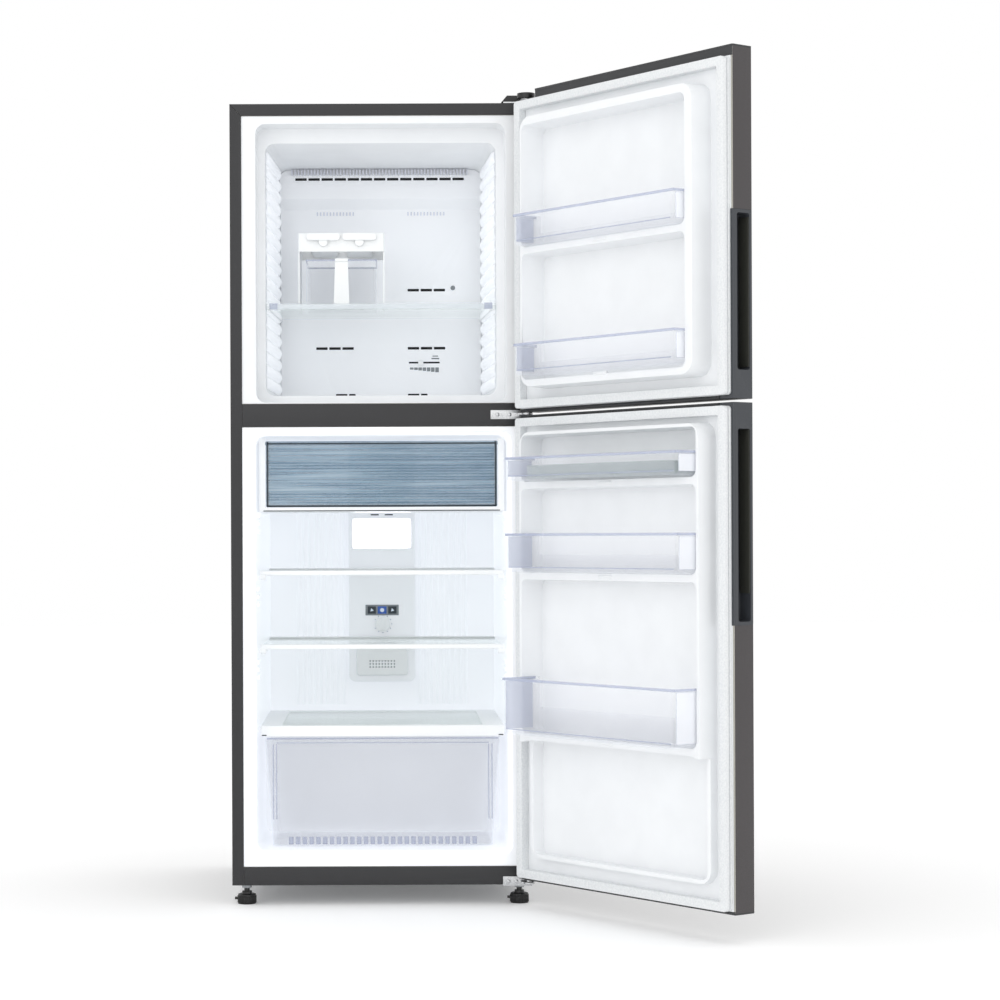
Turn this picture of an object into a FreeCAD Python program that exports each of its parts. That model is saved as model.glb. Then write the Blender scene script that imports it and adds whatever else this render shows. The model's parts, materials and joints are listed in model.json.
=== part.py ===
"""Top freezer refrigerator, with its doors standing open at their stops.

The frame: origin on the floor under the middle of the case front, +X to the hinge side, +Y to the
back, +Z up, in millimetres. Door pieces are drawn with the doors closed and then swung open.
"""
import FreeCAD, Part
import math
import os

os.makedirs("parts", exist_ok=True)

# ---------------------------------------------------------------- driving sizes: the case
CASE_WIDTH = 545.0
CASE_DEPTH = 548.0
CASE_HEIGHT = 1412.0
CASE_LIFT = 36.0             # floor to the underside of the case
FREEZER_SHARE = 0.3987       # of the case height that lies above the middle of the door gap
SHEET = 0.8                  # steel of the outer case and the door skins
FLANGE_WIDTH = 21.0          # front edge of the case, seen from the front
MIDDLE_RAIL = 41.0           # height of the rail between the two openings
BOTTOM_RAIL = 33.0
MITRE_GAP = 0.6
LINER = 1.2                  # thickness of the vacuum-formed inner linings
LINER_SET_BACK = 1.0         # lining flange behind the face of the case
LINER_CORNER = 18.0
BACK_WALL = 54.0             # foam and sheet behind the linings

# The two openings: wall thickness at the mouth, how deep the mouth is, and the step inwards there
FREEZER_WALL = 46.5
FREEZER_MOUTH = 56.0
FREEZER_STEP = 15.0
FREEZER_TAPER = 0.055        # draft of the side walls per millimetre of depth
FREEZER_TOP_WALL = 36.0
FREEZER_TOP_STEP = 27.0
FREEZER_FLOOR_STEP = 15.0
CEILING_TAPER = 0.03
FRIDGE_WALL = 37.5
FRIDGE_MOUTH = 28.0
FRIDGE_STEP = 6.0
FRIDGE_TAPER = 0.011
FRIDGE_TOP_WALL = 9.0        # below the middle rail
FRIDGE_FLOOR_WALL = 20.0     # above the bottom rail
MOUTH_RISE = 3.0             # freezer mouth above the middle rail

# The engine bay behind and below
BAY_DEPTH = 190.0
BAY_HEIGHT = 214.0
HUMP_WALL = 40.0             # foam between the bay and the fridge compartment

# ---------------------------------------------------------------- driving sizes: the doors
DOOR_THICKNESS = 44.0
DOOR_STAND_OFF = 18.0        # case front to the door's inner plane when closed
DOOR_GAP = 6.0               # between the two doors
FREEZER_DOOR_RISE = 15.0     # freezer door above the top of the case
FRIDGE_DOOR_RISE = 13.0      # fridge door above the bottom of the case
CAP_PLATE = 3.0              # plastic end caps of the doors: the part over the skin
CAP_HEIGHT = 5.5             # and the whole cap
FREEZER_CAP_HEIGHT = 18.0    # the cap on top of the freezer door
CAP_FIT = 0.3                # bearing block of a cap to the lining in front of it
CAP_INSET = 1.0              # and to the skin round it
CAP_LAP = 0.5                # plug of a cap short of the door's inner plane
CAP_WEB = 10.0               # depth of the web beside the notch
CORNER_NOTCH = 46.0          # freezer door cut down under the top hinge
NOTCH_CLEARANCE = 2.0
DOOR_CORNER = 3.0
LINER_EDGE = 5.0             # door lining in from the sides of the door
GASKET_WIDTH = 15.0
GASKET_THICKNESS = 16.0
GASKET_EDGE = 6.0            # gasket in from the edge of the door
FREEZER_GASKET_TOP = 20.0    # the same at the top of the freezer door
FREEZER_DIKE = 42.0          # height of the raised ring of the door lining
FRIDGE_DIKE = 38.0
DIKE_CLEARANCE = 4.0         # ring to the walls of the opening it enters
DIKE_CORNER = 26.0
DIKE_DRAFT = 2.5
RECESS_CORNER = 12.0
RECESS_DRAFT = 0.06          # sides of the hollows lean in by this share of their depth
BIN_GAP = 2.8                # bin to the side of its hollow, at the front of the ring
FREEZER_RIM = (13.0, 15.0, 17.0)    # ring round the recess: at each side, below and above
FRIDGE_RIM = (8.0, 8.0, 8.0)
FREEZER_RIM_SHIFT = 6.5      # recess and bins towards the hinge
FREEZER_DIKE_RISE = 14.0     # ring further up from the freezer floor
PANEL_RECESS = 8.0           # floor of the recesses below the door's inner plane
LOW_DIKE_HEIGHT = 14.0       # fridge door ring in front of the crisper
LEDGE = 12.0                 # lining ledge under each door bin
OPEN_ANGLE = 126.3           # doors at rest, from closed
PIVOT_INSET = 10.5           # hinge line in from the side of the case
PIVOT_FORWARD = 27.1         # hinge line in front of the case
PIN_RADIUS = 4.0
PIN_CLEARANCE = 0.05
PIN_REACH = 9.0

# Grips let into the free edges
GRIP_DEPTH = 34.0
GRIP_POCKET = 25.0
GRIP_END = 6.0
FREEZER_GRIP = 308.0
FRIDGE_GRIP = 363.0
FREEZER_POCKET_RISE = 47.0   # freezer pocket above the bottom of its door
FRIDGE_POCKET_DROP = 43.0    # fridge pocket below the top of its door

# ---------------------------------------------------------------- driving sizes: the contents
PLAY = 1.0                   # sliding pieces to the walls
BIN_WALL = 2.0
FREEZER_BIN_FRONT = 62.5     # bin fronts from the door's inner plane
FRIDGE_BIN_FRONT = 77.0
BOTTLE_BIN_FRONT = 84.5
FREEZER_BIN_HEIGHT = 56.0
EGG_BIN_HEIGHT = 42.0
EGG_COUNT = 7
EGG_HOLE = 18.5
EGG_GRIP_GAP = 24.0          # egg tray to the ends of its bin
EGG_HINGE_GAP = 56.7
MIDDLE_BIN_HEIGHT = 68.0
BOTTLE_BIN_HEIGHT = 98.0
BIN_CORNER = 8.0
UPPER_BIN_SHARE = 0.517      # heights of the bins as shares of their door's ring
EGG_BIN_SHARE = 0.881
MIDDLE_BIN_SHARE = 0.670
SHELF_PANE = 4.0
SHELF_TRIM = 9.0
TRIM_WIDTH = 14.0
FREEZER_SHELF_SHARE = 0.365  # shelf heights as shares of their compartment
UPPER_SHELF_SHARE = 0.674
LOWER_SHELF_SHARE = 0.494
FREEZER_SHELF_TRIM = 12.0
FREEZER_SHELF_FRONT = 48.0
SHELF_FRONT = 75.0
SHELF_DEPTH = 370.0
EVAPORATOR_ROOM = 150.0      # behind the freezer's rear cover
COVER_THICKNESS = 2.0
HEADER_DEPTH = 16.0
HEADER_HEIGHT = 56.0
CRISPER_FRONT = 70.0
CRISPER_HEIGHT = 223.5       # top of the crisper cover above the compartment floor
CRISPER_LIP = 19.0
CRISPER_COVER_DEPTH = 410.0
CRISPER_WALL = 2.5
DRAWER_DEPTH = 236.0
FLAP_FRONT = 66.0
FLAP_THICKNESS = 4.0
FLAP_HEIGHT = 121.0
FLAP_DROP = 8.5              # top of the flap below the ceiling
GUIDE_WIDTH = 14.0
CHILLER_DEPTH = 300.0
DUCT_WIDTH = 132.0
DUCT_THICKNESS = 45.0
DUCT_REACH = 0.625           # of the fridge compartment's height
LAMP_WIDTH = 113.0
LAMP_HEIGHT = 56.0
ION_WIDTH = 103.0
ION_HEIGHT = 57.0
ION_DROP = 21.1              # top of the ion unit below the top of the lower shelf
KNOB_RADIUS = 14.5
KNOB_THICKNESS = 14.0
ICE_FRAME_WIDTH = 160.0
ICE_FRAME_DEPTH = 150.0
ICE_FRAME_HEIGHT = 34.0
ICE_FRAME_FRONT = 118.0
ICE_FRAME_CENTRE = -73.0
ICE_BIN_WIDTH = 130.0
ICE_BIN_HEIGHT = 88.0
TRAY_LEVER_WIDTH = 62.0
TRAY_LEVER_HEIGHT = 13.0
TRAY_SPACING = 67.0
FOOT_RADIUS = 16.5
FOOT_HEIGHT = 18.0
FOOT_SETBACK = 27.0
STUD_RADIUS = 5.0
ROLLER_RADIUS = 12.0
ROLLER_WIDTH = 14.0
ROLLER_PIN = 3.0
REAR_LIP = 30.0              # upturned rear edge of the base plate
ROLLER_SETBACK = 40.0        # roller axle in from the back
FAN_RADIUS = 46.0
COMPRESSOR_RADIUS = 62.0

# ---------------------------------------------------------------- worked out from them
V = FreeCAD.Vector
HALF = CASE_WIDTH / 2
INSIDE = HALF - SHEET
CASE_TOP = CASE_LIFT + CASE_HEIGHT
GAP_CENTRE = CASE_TOP - FREEZER_SHARE * CASE_HEIGHT
RAIL_TOP = GAP_CENTRE + MIDDLE_RAIL / 2
RAIL_BASE = GAP_CENTRE - MIDDLE_RAIL / 2
LINER_FACE = SHEET + LINER_SET_BACK
FOAM_FRONT = LINER_FACE + LINER
FOAM_BACK = CASE_DEPTH - SHEET
LINER_BACK = CASE_DEPTH - BACK_WALL
BAY_FRONT = CASE_DEPTH - BAY_DEPTH
BAY_TOP = CASE_LIFT + BAY_HEIGHT
HINGE = V(HALF - PIVOT_INSET, -PIVOT_FORWARD, 0)
PLANE = -DOOR_STAND_OFF                      # the door's inner plane, closed
FACE = PLANE - DOOR_THICKNESS                # the door's outer face, closed
FREEZER_DOOR = (GAP_CENTRE + DOOR_GAP / 2, CASE_TOP + FREEZER_DOOR_RISE)
FRIDGE_DOOR = (CASE_LIFT + FRIDGE_DOOR_RISE, GAP_CENTRE - DOOR_GAP / 2)
ICE_BIN_FRONT = ICE_FRAME_FRONT + 6.0

FREEZER = {
    "mouth": (HALF - FREEZER_WALL, RAIL_TOP + MOUTH_RISE, CASE_TOP - FREEZER_TOP_WALL),
    "mouth_depth": FREEZER_MOUTH,
    "inner": (
        HALF - FREEZER_WALL - FREEZER_STEP,
        RAIL_TOP + MOUTH_RISE + FREEZER_FLOOR_STEP,
        CASE_TOP - FREEZER_TOP_WALL - FREEZER_TOP_STEP,
    ),
    "taper": FREEZER_TAPER,
    "ceiling_taper": CEILING_TAPER,
    "flange": (RAIL_TOP, CASE_TOP - FLANGE_WIDTH),
}
FRIDGE = {
    "mouth": (HALF - FRIDGE_WALL, CASE_LIFT + BOTTOM_RAIL + FRIDGE_FLOOR_WALL, RAIL_BASE - FRIDGE_TOP_WALL),
    "mouth_depth": FRIDGE_MOUTH,
    "inner": (
        HALF - FRIDGE_WALL - FRIDGE_STEP,
        CASE_LIFT + BOTTOM_RAIL + FRIDGE_FLOOR_WALL + FRIDGE_STEP,
        RAIL_BASE - FRIDGE_TOP_WALL - FRIDGE_STEP,
    ),
    "taper": FRIDGE_TAPER,
    "ceiling_taper": 0.0,
    "flange": (CASE_LIFT + BOTTOM_RAIL, RAIL_BASE),
}


# ---------------------------------------------------------------- shape helpers
PLANES = {"x": (1, 2, 0), "y": (0, 2, 1), "z": (0, 1, 2)}


def box(x0, x1, y0, y1, z0, z1):
    return Part.makeBox(x1 - x0, y1 - y0, z1 - z0, V(x0, y0, z0))


def outline(axis, low, high, at, radius=0.0):
    """A rectangle with rounded corners in the plane across an axis."""
    first, second, third = PLANES[axis]

    def point(a, b):
        place = [0.0, 0.0, 0.0]
        place[first], place[second], place[third] = a, b, at
        return V(*place)

    if radius <= 0:
        (a0, b0), (a1, b1) = low, high
        corners = [point(a0, b0), point(a1, b0), point(a1, b1), point(a0, b1)]
        return Part.makePolygon(corners + corners[:1])
    radius = min(radius, 0.499 * (high[0] - low[0]), 0.499 * (high[1] - low[1]))
    centres = [
        (high[0] - radius, low[1] + radius, -90),
        (high[0] - radius, high[1] - radius, 0),
        (low[0] + radius, high[1] - radius, 90),
        (low[0] + radius, low[1] + radius, 180),
    ]
    arcs = []
    for a, b, start in centres:
        turns = [math.radians(start + step) for step in (0, 45, 90)]
        arcs.append([point(a + radius * math.cos(t), b + radius * math.sin(t)) for t in turns])
    edges = []
    for index, arc in enumerate(arcs):
        edges.append(Part.Arc(*arc).toShape())
        edges.append(Part.LineSegment(arc[2], arcs[(index + 1) % 4][0]).toShape())
    return Part.Wire(edges)


def prism(axis, low, high, start, end, radius=0.0):
    """A bar along an axis, whose section is a rectangle with rounded corners."""
    along = [0.0, 0.0, 0.0]
    along[PLANES[axis][2]] = end - start
    return Part.Face(outline(axis, low, high, start, radius)).extrude(V(*along))


def frustum(y0, half0, low0, high0, y1, half1, low1, high1, radius=0.0):
    """A space that runs back from one rectangle to another, even about X = 0."""
    near = outline("y", (-half0, low0), (half0, high0), y0, radius)
    far = outline("y", (-half1, low1), (half1, high1), y1, radius)
    return Part.makeLoft([near, far], True, True)


def wedge(y0, rect0, y1, rect1):
    """A block between two rectangles (x0, x1, z0, z1) at two depths."""
    near = outline("y", (rect0[0], rect0[2]), (rect0[1], rect0[3]), y0)
    far = outline("y", (rect1[0], rect1[2]), (rect1[1], rect1[3]), y1)
    return Part.makeLoft([near, far], True, True)


def rod(x, y, z, radius, length, direction):
    return Part.makeCylinder(radius, length, V(x, y, z), direction)


def joined(shapes):
    whole = shapes[0]
    for shape in shapes[1:]:
        whole = whole.fuse(shape)
    return whole.removeSplitter()


def softened(shape, radius, chosen):
    """Round the edges that a test picks out."""
    edges = [edge for edge in shape.Edges if chosen(edge)]
    return shape.makeFillet(radius, edges) if edges else shape


def level(edge, axis, value, slack=0.01):
    """Does an edge lie wholly in the plane where the axis has this value?"""
    bounds = edge.BoundBox
    low, high = {
        "x": (bounds.XMin, bounds.XMax),
        "y": (bounds.YMin, bounds.YMax),
        "z": (bounds.ZMin, bounds.ZMax),
    }[axis]
    return abs(low - value) < slack and abs(high - value) < slack


def opened(shape):
    """Swing a door piece from closed to its rest place."""
    turned = shape.copy()
    turned.rotate(HINGE, V(0, 0, 1), OPEN_ANGLE)
    return turned


def write(node, shape):
    solids = shape.Solids
    if not solids or not shape.isValid():
        raise RuntimeError("bad shape in " + node)
    whole = solids[0] if len(solids) == 1 else Part.makeCompound(solids)
    whole.exportStep("parts/" + node + ".step")


# ---------------------------------------------------------------- the linings and the foam
def half_at(room, depth):
    return room["inner"][0] - room["taper"] * (depth - room["mouth_depth"])


def ceiling_at(room, depth):
    return room["inner"][2] - room["ceiling_taper"] * (depth - room["mouth_depth"])


def space(room, grow, radius):
    """The room inside a lining (grow 0), or what the lining fills in the foam (grow LINER)."""
    half, low, high = room["mouth"]
    step, end = room["mouth_depth"] + grow, LINER_BACK + grow
    mouth = prism("y", (-half - grow, low - grow), (half + grow, high + grow), -1.0, step, radius)
    start = room["mouth_depth"] + min(grow, 0.0)
    inner_low = room["inner"][1]
    main = frustum(
        start,
        half_at(room, start) + grow,
        inner_low - grow,
        ceiling_at(room, start) + grow,
        end,
        half_at(room, end) + grow,
        inner_low - grow,
        ceiling_at(room, end) + grow,
        radius,
    )
    return mouth.fuse(main)


def hump(shrink):
    """The step in the fridge compartment's floor that makes room for the engine bay."""
    front = BAY_FRONT - HUMP_WALL + shrink
    return box(-HALF, HALF, front, CASE_DEPTH, 0, BAY_TOP + HUMP_WALL - shrink)


def lining(room, with_hump):
    low, high = room["flange"]
    flange = box(-INSIDE + 1.0, INSIDE - 1.0, LINER_FACE, FOAM_FRONT, low + 1.0, high - 1.0)
    outer = space(room, LINER, LINER_CORNER + LINER)
    inner = space(room, 0.0, LINER_CORNER)
    if with_hump:
        outer = outer.cut(hump(LINER))
        inner = inner.cut(hump(0.0))
    front_trim = box(-HALF, HALF, -5, LINER_FACE, 0, CASE_TOP)
    shell = flange.fuse(outer).cut(inner).cut(front_trim)
    return shell.removeSplitter()


def foam_blocks(room, low, high, side_low):
    """Foam round one compartment: front and rear blocks on each side, above and below."""
    half, mouth_low, mouth_high = room["mouth"]
    mouth_end = room["mouth_depth"] + LINER
    grown = half + LINER
    blocks = []
    for x0, x1 in ((-INSIDE, -grown), (grown, INSIDE)):
        blocks.append(box(x0, x1, FOAM_FRONT, mouth_end, low, high))
    blocks.append(box(-grown, grown, FOAM_FRONT, mouth_end, mouth_high + LINER, high))
    blocks.append(box(-grown, grown, FOAM_FRONT, mouth_end, low, mouth_low - LINER))
    near, far = mouth_end, LINER_BACK + LINER
    inner_low = room["inner"][1] - LINER
    near_half, far_half = half_at(room, near) + LINER, half_at(room, far) + LINER
    near_top, far_top = ceiling_at(room, near) + LINER, ceiling_at(room, far) + LINER
    for side in (-1, 1):
        near_x = sorted((side * near_half, side * INSIDE))
        far_x = sorted((side * far_half, side * INSIDE))
        blocks.append(wedge(near, (*near_x, side_low, high), far, (*far_x, side_low, high)))
    near_x, far_x = (-near_half, near_half), (-far_half, far_half)
    blocks.append(wedge(near, (*near_x, near_top, high), far, (*far_x, far_top, high)))
    if side_low == low:
        blocks.append(wedge(near, (*near_x, low, inner_low), far, (*far_x, low, inner_low)))
    return blocks


def cabinet_foam():
    bottom = CASE_LIFT + SHEET
    top = CASE_TOP - SHEET
    blocks = foam_blocks(FREEZER, GAP_CENTRE, top, GAP_CENTRE)
    blocks += foam_blocks(FRIDGE, bottom, GAP_CENTRE, BAY_TOP)
    near, rear = FRIDGE["mouth_depth"] + LINER, BAY_FRONT
    hump_front = BAY_FRONT - HUMP_WALL + LINER
    hump_top = BAY_TOP + HUMP_WALL - LINER
    floor = FRIDGE["inner"][1] - LINER
    near_half = half_at(FRIDGE, near) + LINER
    hump_half = half_at(FRIDGE, hump_front) + LINER
    rear_half = half_at(FRIDGE, rear) + LINER
    far_half = half_at(FRIDGE, LINER_BACK + LINER) + LINER
    for side in (-1, 1):
        near_edges = sorted((side * INSIDE, side * near_half))
        rear_edges = sorted((side * INSIDE, side * rear_half))
        blocks.append(wedge(near, (*near_edges, bottom, BAY_TOP), rear, (*rear_edges, bottom, BAY_TOP)))
    near_x, hump_x = (-near_half, near_half), (-hump_half, hump_half)
    rear_x, far_x = (-rear_half, rear_half), (-far_half, far_half)
    far = LINER_BACK + LINER
    blocks.append(wedge(near, (*near_x, bottom, floor), hump_front, (*hump_x, bottom, floor)))
    blocks.append(wedge(hump_front, (*hump_x, bottom, BAY_TOP), rear, (*rear_x, bottom, BAY_TOP)))
    blocks.append(wedge(hump_front, (*hump_x, BAY_TOP, hump_top), far, (*far_x, BAY_TOP, hump_top)))
    blocks.append(box(-INSIDE, INSIDE, LINER_BACK + LINER, FOAM_BACK, BAY_TOP, top))
    return Part.makeCompound(blocks)


# ---------------------------------------------------------------- the outer case
def top_panel():
    sheet = box(-HALF, HALF, 0, CASE_DEPTH, CASE_TOP - SHEET, CASE_TOP)
    inset = HALF - FLANGE_WIDTH
    corners = [
        V(-HALF, 0, CASE_TOP),
        V(HALF, 0, CASE_TOP),
        V(inset, 0, CASE_TOP - FLANGE_WIDTH),
        V(-inset, 0, CASE_TOP - FLANGE_WIDTH),
    ]
    flange = Part.Face(Part.makePolygon(corners + corners[:1])).extrude(V(0, SHEET, 0))
    return joined([sheet, flange])


def side_panel(side):
    sheet = box(*sorted((side * HALF, side * INSIDE)), 0, CASE_DEPTH, CASE_LIFT, CASE_TOP - SHEET)
    inset = side * (HALF - FLANGE_WIDTH)
    corners = [
        V(side * HALF, 0, CASE_LIFT),
        V(inset, 0, CASE_LIFT),
        V(inset, 0, CASE_TOP - FLANGE_WIDTH - MITRE_GAP),
        V(side * HALF, 0, CASE_TOP - MITRE_GAP),
    ]
    flange = Part.Face(Part.makePolygon(corners + corners[:1])).extrude(V(0, SHEET, 0))
    over = box(-HALF, HALF, -1, CASE_DEPTH, CASE_TOP - SHEET, CASE_TOP)
    return joined([sheet, flange.cut(over)])


def rail(low, high):
    """A pressed channel across the front, between the side flanges."""
    end = HALF - FLANGE_WIDTH - MITRE_GAP / 2
    back = LINER_FACE
    face = box(-end, end, 0, SHEET, low, high)
    lips = [box(-end, end, 0, back, low, low + SHEET), box(-end, end, 0, back, high - SHEET, high)]
    return joined([face] + lips)


def roller_places():
    return [side * (INSIDE - 34.0) for side in (-1, 1)]


def foot_places():
    return [side * (HALF - 25.0) for side in (-1, 1)]


def base_plate():
    """Steel floor under the foam and the engine bay, with welded foot bushes and roller ears."""
    top = CASE_LIFT + SHEET
    floor = box(-INSIDE, INSIDE, FOAM_FRONT, CASE_DEPTH, CASE_LIFT, top)
    lip = box(-INSIDE, INSIDE, FOAM_BACK, CASE_DEPTH, CASE_LIFT, CASE_LIFT + REAR_LIP)
    plate = joined([floor, lip])
    bushes = [rod(x, FOOT_SETBACK, CASE_LIFT - 7, 9, 7, V(0, 0, 1)) for x in foot_places()]
    axle_y = CASE_DEPTH - ROLLER_SETBACK
    ears = []
    for x in roller_places():
        for side in (-1, 1):
            ear = x + side * (ROLLER_WIDTH / 2 + 2.0)
            ears.append(box(ear - 1, ear + 1, axle_y - 11, axle_y + 11, ROLLER_RADIUS - 7, CASE_LIFT))
    for x in foot_places():
        stud = rod(x, FOOT_SETBACK, 0, STUD_RADIUS + PIN_CLEARANCE, CASE_LIFT + 5, V(0, 0, 1))
        plate = plate.cut(stud)
        bushes = [bush.cut(stud) for bush in bushes]
    for x in roller_places():
        axle = rod(x - 20, axle_y, ROLLER_RADIUS, ROLLER_PIN + PIN_CLEARANCE, 40, V(1, 0, 0))
        ears = [ear.cut(axle) for ear in ears]
    x, z = gland_place()
    plate = plate.cut(rod(x, FOAM_BACK - 5, z, 7.0, 10, V(0, 1, 0)))
    return Part.makeCompound([solid for piece in [plate] + bushes + ears for solid in piece.Solids])


def gland_place():
    return INSIDE - 70, CASE_LIFT + 16


def cord_gland():
    """Rubber grommet in the rear lip where the mains lead comes out."""
    x, z = gland_place()
    body = rod(x, FOAM_BACK - 3, z, 7.0, 3 + SHEET + 4, V(0, 1, 0))
    rims = [rod(x, FOAM_BACK - 3, z, 10, 3, V(0, 1, 0)), rod(x, CASE_DEPTH, z, 10, 4, V(0, 1, 0))]
    return joined([body] + rims).cut(rod(x, FOAM_BACK - 10, z, 4.0, 30, V(0, 1, 0)))


def foot(x):
    disc = rod(x, FOOT_SETBACK, 0, FOOT_RADIUS, FOOT_HEIGHT, V(0, 0, 1))
    disc = softened(disc, 2.0, lambda edge: level(edge, "z", FOOT_HEIGHT))
    collar = rod(x, FOOT_SETBACK, FOOT_HEIGHT, 9, 5, V(0, 0, 1))
    stud = rod(x, FOOT_SETBACK, FOOT_HEIGHT, STUD_RADIUS, CASE_LIFT + SHEET / 2 - FOOT_HEIGHT, V(0, 0, 1))
    foot_tab = box(x - 22, x, FOOT_SETBACK - 5, FOOT_SETBACK + 5, 8, 12)
    return joined([disc, collar, stud, foot_tab])


def rear_rollers():
    axle_y = CASE_DEPTH - ROLLER_SETBACK
    wheels = []
    for x in roller_places():
        wheel = rod(x - ROLLER_WIDTH / 2, axle_y, ROLLER_RADIUS, ROLLER_RADIUS, ROLLER_WIDTH, V(1, 0, 0))
        pin = rod(x - ROLLER_WIDTH / 2 - 4, axle_y, ROLLER_RADIUS, ROLLER_PIN, ROLLER_WIDTH + 8, V(1, 0, 0))
        wheels.append(joined([wheel, pin]))
    return Part.makeCompound(wheels)


def compressor():
    """Welded steel shell on a neck and a mounting plate, with four rubber feet and a pipe stub."""
    x, y = -80.0, (BAY_FRONT + CASE_DEPTH) / 2
    floor = CASE_LIFT + SHEET
    low, high = floor + 12, floor + 142
    shell = rod(x, y, low, COMPRESSOR_RADIUS, high - low, V(0, 0, 1))
    shell = softened(shell, 28, lambda edge: level(edge, "z", low) or level(edge, "z", high))
    plate = box(x - 95, x + 95, y - 40, y + 40, floor + 6, floor + 9)
    legs = [rod(x + sx * 85, y + sy * 30, floor, 8, 6, V(0, 0, 1)) for sx in (-1, 1) for sy in (-1, 1)]
    neck = rod(x, y, floor + 9, 30, 3, V(0, 0, 1))
    pipe = rod(x + 25, y, high, 4, 28, V(0, 0, 1))
    return Part.makeCompound([shell, plate, neck, pipe] + legs)


# ---------------------------------------------------------------- hinges
def bored(shape, low, high):
    return shape.cut(rod(HINGE.x, HINGE.y, low, PIN_RADIUS + PIN_CLEARANCE, high - low, V(0, 0, 1)))


def arm(low, high, back, inner):
    """A flat hinge arm from the case to a round end on the hinge line."""
    end = rod(HINGE.x, HINGE.y, low, PIVOT_INSET - 0.5, high - low, V(0, 0, 1))
    bar = box(inner, HINGE.x + PIVOT_INSET - 0.5, HINGE.y, back, low, high)
    return [end, bar]


def top_hinge():
    low, high = CASE_TOP, CASE_TOP + 2.5
    tip = CASE_TOP - NOTCH_CLEARANCE - PIN_REACH
    pin = rod(HINGE.x, HINGE.y, tip, PIN_RADIUS, high - tip, V(0, 0, 1))
    plate = box(HALF - 50, HALF - 4, 0, 50, low, high)
    return joined(arm(low, high, 50, HINGE.x - 8) + [plate, pin])


def top_hinge_cover():
    """Black cap over the top hinge, hollow underneath, with a rounded nose on the hinge line."""
    low, high = CASE_TOP + 3.0, CASE_TOP + FREEZER_DOOR_RISE
    profile = [V(HALF - 53, 8, low), V(HALF - 43, 8, high), V(HALF - 8, 8, high), V(HALF - 2, 8, low)]
    body = Part.Face(Part.makePolygon(profile + profile[:1])).extrude(V(0, 50, 0))
    skirt = box(HALF - 53, HALF - 51.5, 8, 58, CASE_TOP, low + 1)
    nose = rod(HINGE.x, HINGE.y, low, 16, high - low - 3, V(0, 0, 1))
    bridge = box(HINGE.x - 14, HINGE.x + 8, HINGE.y, 10, low, high - 3)
    return joined([body, skirt, nose, bridge])


def mid_hinge():
    """Bracket screwed to the middle rail, with a pin up into one door and down into the other."""
    low, high = GAP_CENTRE - 1.5, GAP_CENTRE + 1.5
    plate = box(HALF - 75, HALF - 10, -2.5, 0, GAP_CENTRE - 8, GAP_CENTRE + 8)
    pin = rod(HINGE.x, HINGE.y, FRIDGE_DOOR[1] - PIN_REACH, PIN_RADIUS, DOOR_GAP + 2 * PIN_REACH, V(0, 0, 1))
    return joined(arm(low, high, 0, HINGE.x - 14) + [plate, pin])


def bottom_hinge():
    low, high = CASE_LIFT + 5, CASE_LIFT + 8.5
    plate = box(HALF - 56, HALF - 3, -2.5, 0, CASE_LIFT - 2, CASE_LIFT + 15)
    pin = rod(HINGE.x, HINGE.y, low, PIN_RADIUS, FRIDGE_DOOR[0] + PIN_REACH - low, V(0, 0, 1))
    return joined(arm(low, high, 0, HINGE.x - 14) + [plate, pin])


# ---------------------------------------------------------------- doors, drawn closed
def ring_of(room, extra_low):
    half, low, high = room["mouth"]
    return half - DIKE_CLEARANCE, low + DIKE_CLEARANCE + extra_low, high - DIKE_CLEARANCE


FREEZER_RING = ring_of(FREEZER, FREEZER_DIKE_RISE)
FRIDGE_RING = ring_of(FRIDGE, 0.0)
CRISPER_TOP = FRIDGE["inner"][1] + CRISPER_HEIGHT


def ring_height(ring, share):
    return ring[1] + share * (ring[2] - ring[1])


UPPER_BIN_BASE = ring_height(FREEZER_RING, UPPER_BIN_SHARE)
LOWER_BIN_BASE = FREEZER_RING[1] + FREEZER_RIM[1] + LEDGE / 2
EGG_BIN_BASE = ring_height(FRIDGE_RING, EGG_BIN_SHARE)
MIDDLE_BIN_BASE = ring_height(FRIDGE_RING, MIDDLE_BIN_SHARE)
BOTTLE_BIN_BASE = CRISPER_TOP - 1.0

DOORS = {
    "freezer_door": {
        "span": FREEZER_DOOR,
        "caps": (CAP_HEIGHT, FREEZER_CAP_HEIGHT),
        "gasket_top": FREEZER_GASKET_TOP,
        "ring": FREEZER_RING,
        "dike": FREEZER_DIKE,
        "rim": FREEZER_RIM,
        "shift": FREEZER_RIM_SHIFT,
        "ledges": [UPPER_BIN_BASE],
        "low_zone": None,
        "grip": (FREEZER_DOOR[0], FREEZER_DOOR[0] + FREEZER_GRIP),
        "pocket": (FREEZER_DOOR[0] + FREEZER_POCKET_RISE, FREEZER_DOOR[0] + FREEZER_GRIP - GRIP_END),
        "notched": True,
    },
    "fridge_door": {
        "span": FRIDGE_DOOR,
        "caps": (CAP_HEIGHT, CAP_HEIGHT),
        "gasket_top": GASKET_EDGE,
        "ring": FRIDGE_RING,
        "dike": FRIDGE_DIKE,
        "rim": FRIDGE_RIM,
        "shift": 0.0,
        "ledges": [EGG_BIN_BASE, MIDDLE_BIN_BASE, BOTTLE_BIN_BASE],
        "low_zone": BOTTLE_BIN_BASE - LEDGE,
        "grip": (FRIDGE_DOOR[1] - FRIDGE_GRIP, FRIDGE_DOOR[1]),
        "pocket": (FRIDGE_DOOR[1] - FRIDGE_GRIP + GRIP_END, FRIDGE_DOOR[1] - FRIDGE_POCKET_DROP),
        "notched": False,
    },
}


def notch(lower=0.0):
    """What is cut from the freezer door so that its top clears the top hinge."""
    x0 = HALF - CORNER_NOTCH
    return box(x0, HALF + 5, FACE - 5, PLANE + 5, CASE_TOP - NOTCH_CLEARANCE - lower, CASE_TOP + 60)


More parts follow.
